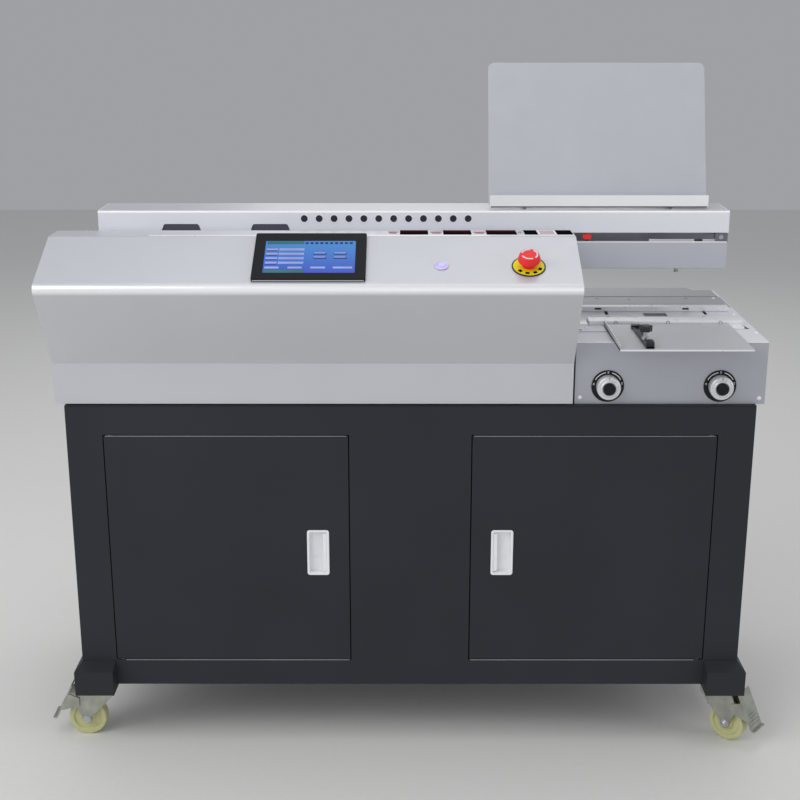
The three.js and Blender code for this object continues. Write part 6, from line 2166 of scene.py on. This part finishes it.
@dataclass
class Stations(Assembly):
    """The glue tank with its roller, the milling station and the waste bin."""

    tank_x: Flat = (-500.0, -180.0)
    tank_y: Flat = (160.0, 260.0)
    tank_foot: float = 735.0
    tank_wall: float = 4.2
    glue_level: float = 741.5
    roller_x: float = -340.0
    roller_room: float = 42.0
    spindle: Flat = (120.0, 218.0)
    cutter_top: float = 816.6
    fins: Flat = (709.0, 766.0)
    fin_pitch: float = 7.0

    def build(self) -> None:
        """Builds and dresses the stations."""
        Reshaped("machine", Finish.CAST_ALLOY, {"glue_tank": 1.0}).build()
        Reshaped("glue_roller", Finish.GROUND_STEEL, {"glue_roller": 0.8}).build()
        Reshaped("machine", Finish.BIN_PLASTIC, {"waste_bin": 1.5}).build()
        self.build_glue()
        self.build_motor()
        self.build_cutter()
        LOG.info("stations: tank, glue, roller, motor, cutter and bin")

    def build_glue(self) -> None:
        """Fills the tank with set glue on both sides of the roller."""
        bench = self.bench
        (x0, x1), (y0, y1), wall = self.tank_x, self.tank_y, self.tank_wall
        near, far = around(self.roller_x, self.roller_room)
        spans = ((x0 + wall, near), (far, x1 - wall))
        pools = [bench.block(f"glue_pool_{i}", span, (y0 + wall, y1 - wall),
                             (self.tank_foot + wall, self.glue_level), 1.2, 3) for i, span in enumerate(spans)]
        bench.group("glue_pools", pools, Finish.SET_GLUE, "machine")

    def build_motor(self) -> None:
        """Models the milling motor with its flange and cooling fins."""
        bench = self.bench
        profile = [(0.0, 700.3), (47.0, 700.3), (47.0, 705.8), (46.0, 706.3), (42.5, 706.3)]
        level, last = self.fins
        while level < last:
            profile += [(42.5, level), (45.0, level + 0.4), (45.0, level + 3.0), (42.5, level + 3.4)]
            level += self.fin_pitch
        profile += [(42.5, 772.0), (45.0, 773.0), (45.0, 778.0), (43.5, 780.0), (12.0, 780.0), (12.0, 783.0),
                    (7.0, 784.0), (7.0, 814.4), (0.0, 814.4)]
        motor = bench.turned("milling_motor_shape", profile, self.spindle, steps=56)
        bench.finish(motor, Finish.CAST_ALLOY, "machine", ("milling_motor",))

    def build_cutter(self) -> None:
        """Rounds the cutter and adds its hard tips and clamping nut."""
        bench = self.bench
        cutter = bench.reworked("milling_cutter", "milling_cutter_shape", 0.5)
        bench.finish(cutter, Finish.GROUND_STEEL, "milling_cutter", ("milling_cutter",))
        (x, y), top = self.spindle, self.cutter_top
        tip = bench.block("cutter_tip", (x + 42.0, x + 49.0), (y + 6.0, y + 9.0), (top - 4.0, top + 0.4), 0.4)
        tips = [bench.copy(tip, f"cutter_tip_{i}", turn=15.0 + 30.0 * i, about=(x, y, 0.0)) for i in range(12)]
        bench.discard(tip)
        profile = [(7.6, top - 0.5), (13.0, top - 0.5), (13.0, top + 0.2), (12.0, top + 0.9), (7.6, top + 0.9),
                   (7.6, top - 0.5)]
        nut = bench.turned("cutter_nut", profile, self.spindle, steps=6)
        bench.group("cutter_tips", [nut, *tips], Finish.DARK_STEEL, "milling_cutter")


@dataclass
class Studio:
    """The floor, the lights and the camera."""

    floor_size: float = 14.0
    floor_colour: Colour = (0.82, 0.81, 0.79)
    sky: Colour = (0.86, 0.88, 0.92)
    sky_strength: float = 0.40
    lights: tuple[tuple[str, Point, Point, float, float], ...] = (
        ("key_light", (-2.2, -2.5, 3.1), (0.0, 0.0, 0.9), 2.6, 47.0),
        ("top_light", (0.3, 0.1, 3.9), (0.0, 0.0, 0.8), 3.0, 32.0),
        ("back_light", (0.2, 3.6, 2.7), (0.0, 0.2, 0.9), 2.0, 14.0),
        ("front_fill", (0.5, -3.9, 1.5), (0.0, 0.0, 0.7), 2.2, 12.5),
        ("left_fill", (-3.2, -1.2, 1.6), (0.0, 0.0, 0.7), 1.8, 18.0),
        ("right_fill", (3.2, -1.0, 1.6), (0.0, 0.0, 0.7), 1.8, 14.6))
    eye: Point = (-17.5, -2390.6, 1413.7)
    pitch: float = 73.62
    yaw: float = 0.04
    lens: float = 60.82

    def build(self) -> None:
        """Sets up the floor, the lights and the camera."""
        self.build_floor()
        self.light_room()
        self.place_camera()
        LOG.info("studio: floor, lights and camera")

    def build_floor(self) -> None:
        """Lays a plain pale floor."""
        Bench.clear()
        bpy.ops.mesh.primitive_plane_add(size=self.floor_size, location=(0.0, 0.0, 0.0))
        floor = bpy.context.active_object
        floor.name = "studio_floor"
        floor.data.materials.append(Moulding(self.floor_colour, 0.75, 0.5, 0.01).make("floor_paper_surface"))

    def light_room(self) -> None:
        """Sets the pale air and hangs the key, top and back lights and the three fills."""
        bpy.context.scene.view_settings.view_transform = "Standard"
        world = bpy.data.worlds.new("studio_air")
        world.use_nodes = True
        air = world.node_tree.nodes["Background"]
        air.inputs["Color"].default_value = (*self.sky, 1.0)
        air.inputs["Strength"].default_value = self.sky_strength
        bpy.context.scene.world = world
        for name, place, target, size, power in self.lights:
            self.hang(name, place, target, size, power)

    @staticmethod
    def hang(name: str, place: Point, target: Point, size: float, power: float) -> None:
        """Adds a square soft light aimed at a point.

        Args:
            name: the light's name.
            place: its place in metres.
            target: what it points at, in metres.
            size: its side in metres.
            power: watts.
        """
        lamp = bpy.data.lights.new(name, "AREA")
        lamp.shape = "SQUARE"
        lamp.size = size
        lamp.energy = power
        light = bpy.data.objects.new(name, lamp)
        bpy.context.scene.collection.objects.link(light)
        light.location = place
        light.rotation_euler = (Vector(target) - Vector(place)).to_track_quat("-Z", "Y").to_euler()

    def place_camera(self) -> None:
        """Sets the camera where the photograph was taken from."""
        lens = bpy.data.cameras.new("view_camera")
        lens.lens = self.lens
        lens.sensor_width = 36.0
        camera = bpy.data.objects.new("view_camera", lens)
        bpy.context.scene.collection.objects.link(camera)
        camera.location = Bench.at(self.eye).seat.translation
        camera.rotation_euler = (math.radians(self.pitch), 0.0, math.radians(self.yaw))
        bpy.context.scene.camera = camera


def main() -> None:
    """Builds the machine's looks, one sub-assembly after the other."""
    logging.basicConfig(level=logging.INFO, format="%(name)s: %(message)s")
    Studio().build()
    CarriedNodes().dress()
    panel = ControlPanel()
    FrontCover().build(panel)
    panel.build()
    assemblies = [Beam(), Clamp(), BookRest(), Bed(), Tray(), Dial("left_dial", 364.0), Dial("right_dial", 571.0),
                  Cabinet(), Housing(), Carriage(), Stations(),
                  Caster("front_left", (-612.4, 45.0), 180.0, True),
                  Caster("front_right", (612.4, 45.0), -40.0, True),
                  Caster("rear_left", (-612.4, 445.0), 118.0, False),
                  Caster("rear_right", (612.4, 445.0), 62.0, False)]
    for assembly in assemblies:
        assembly.build()


if __name__ == "__main__":
    main()
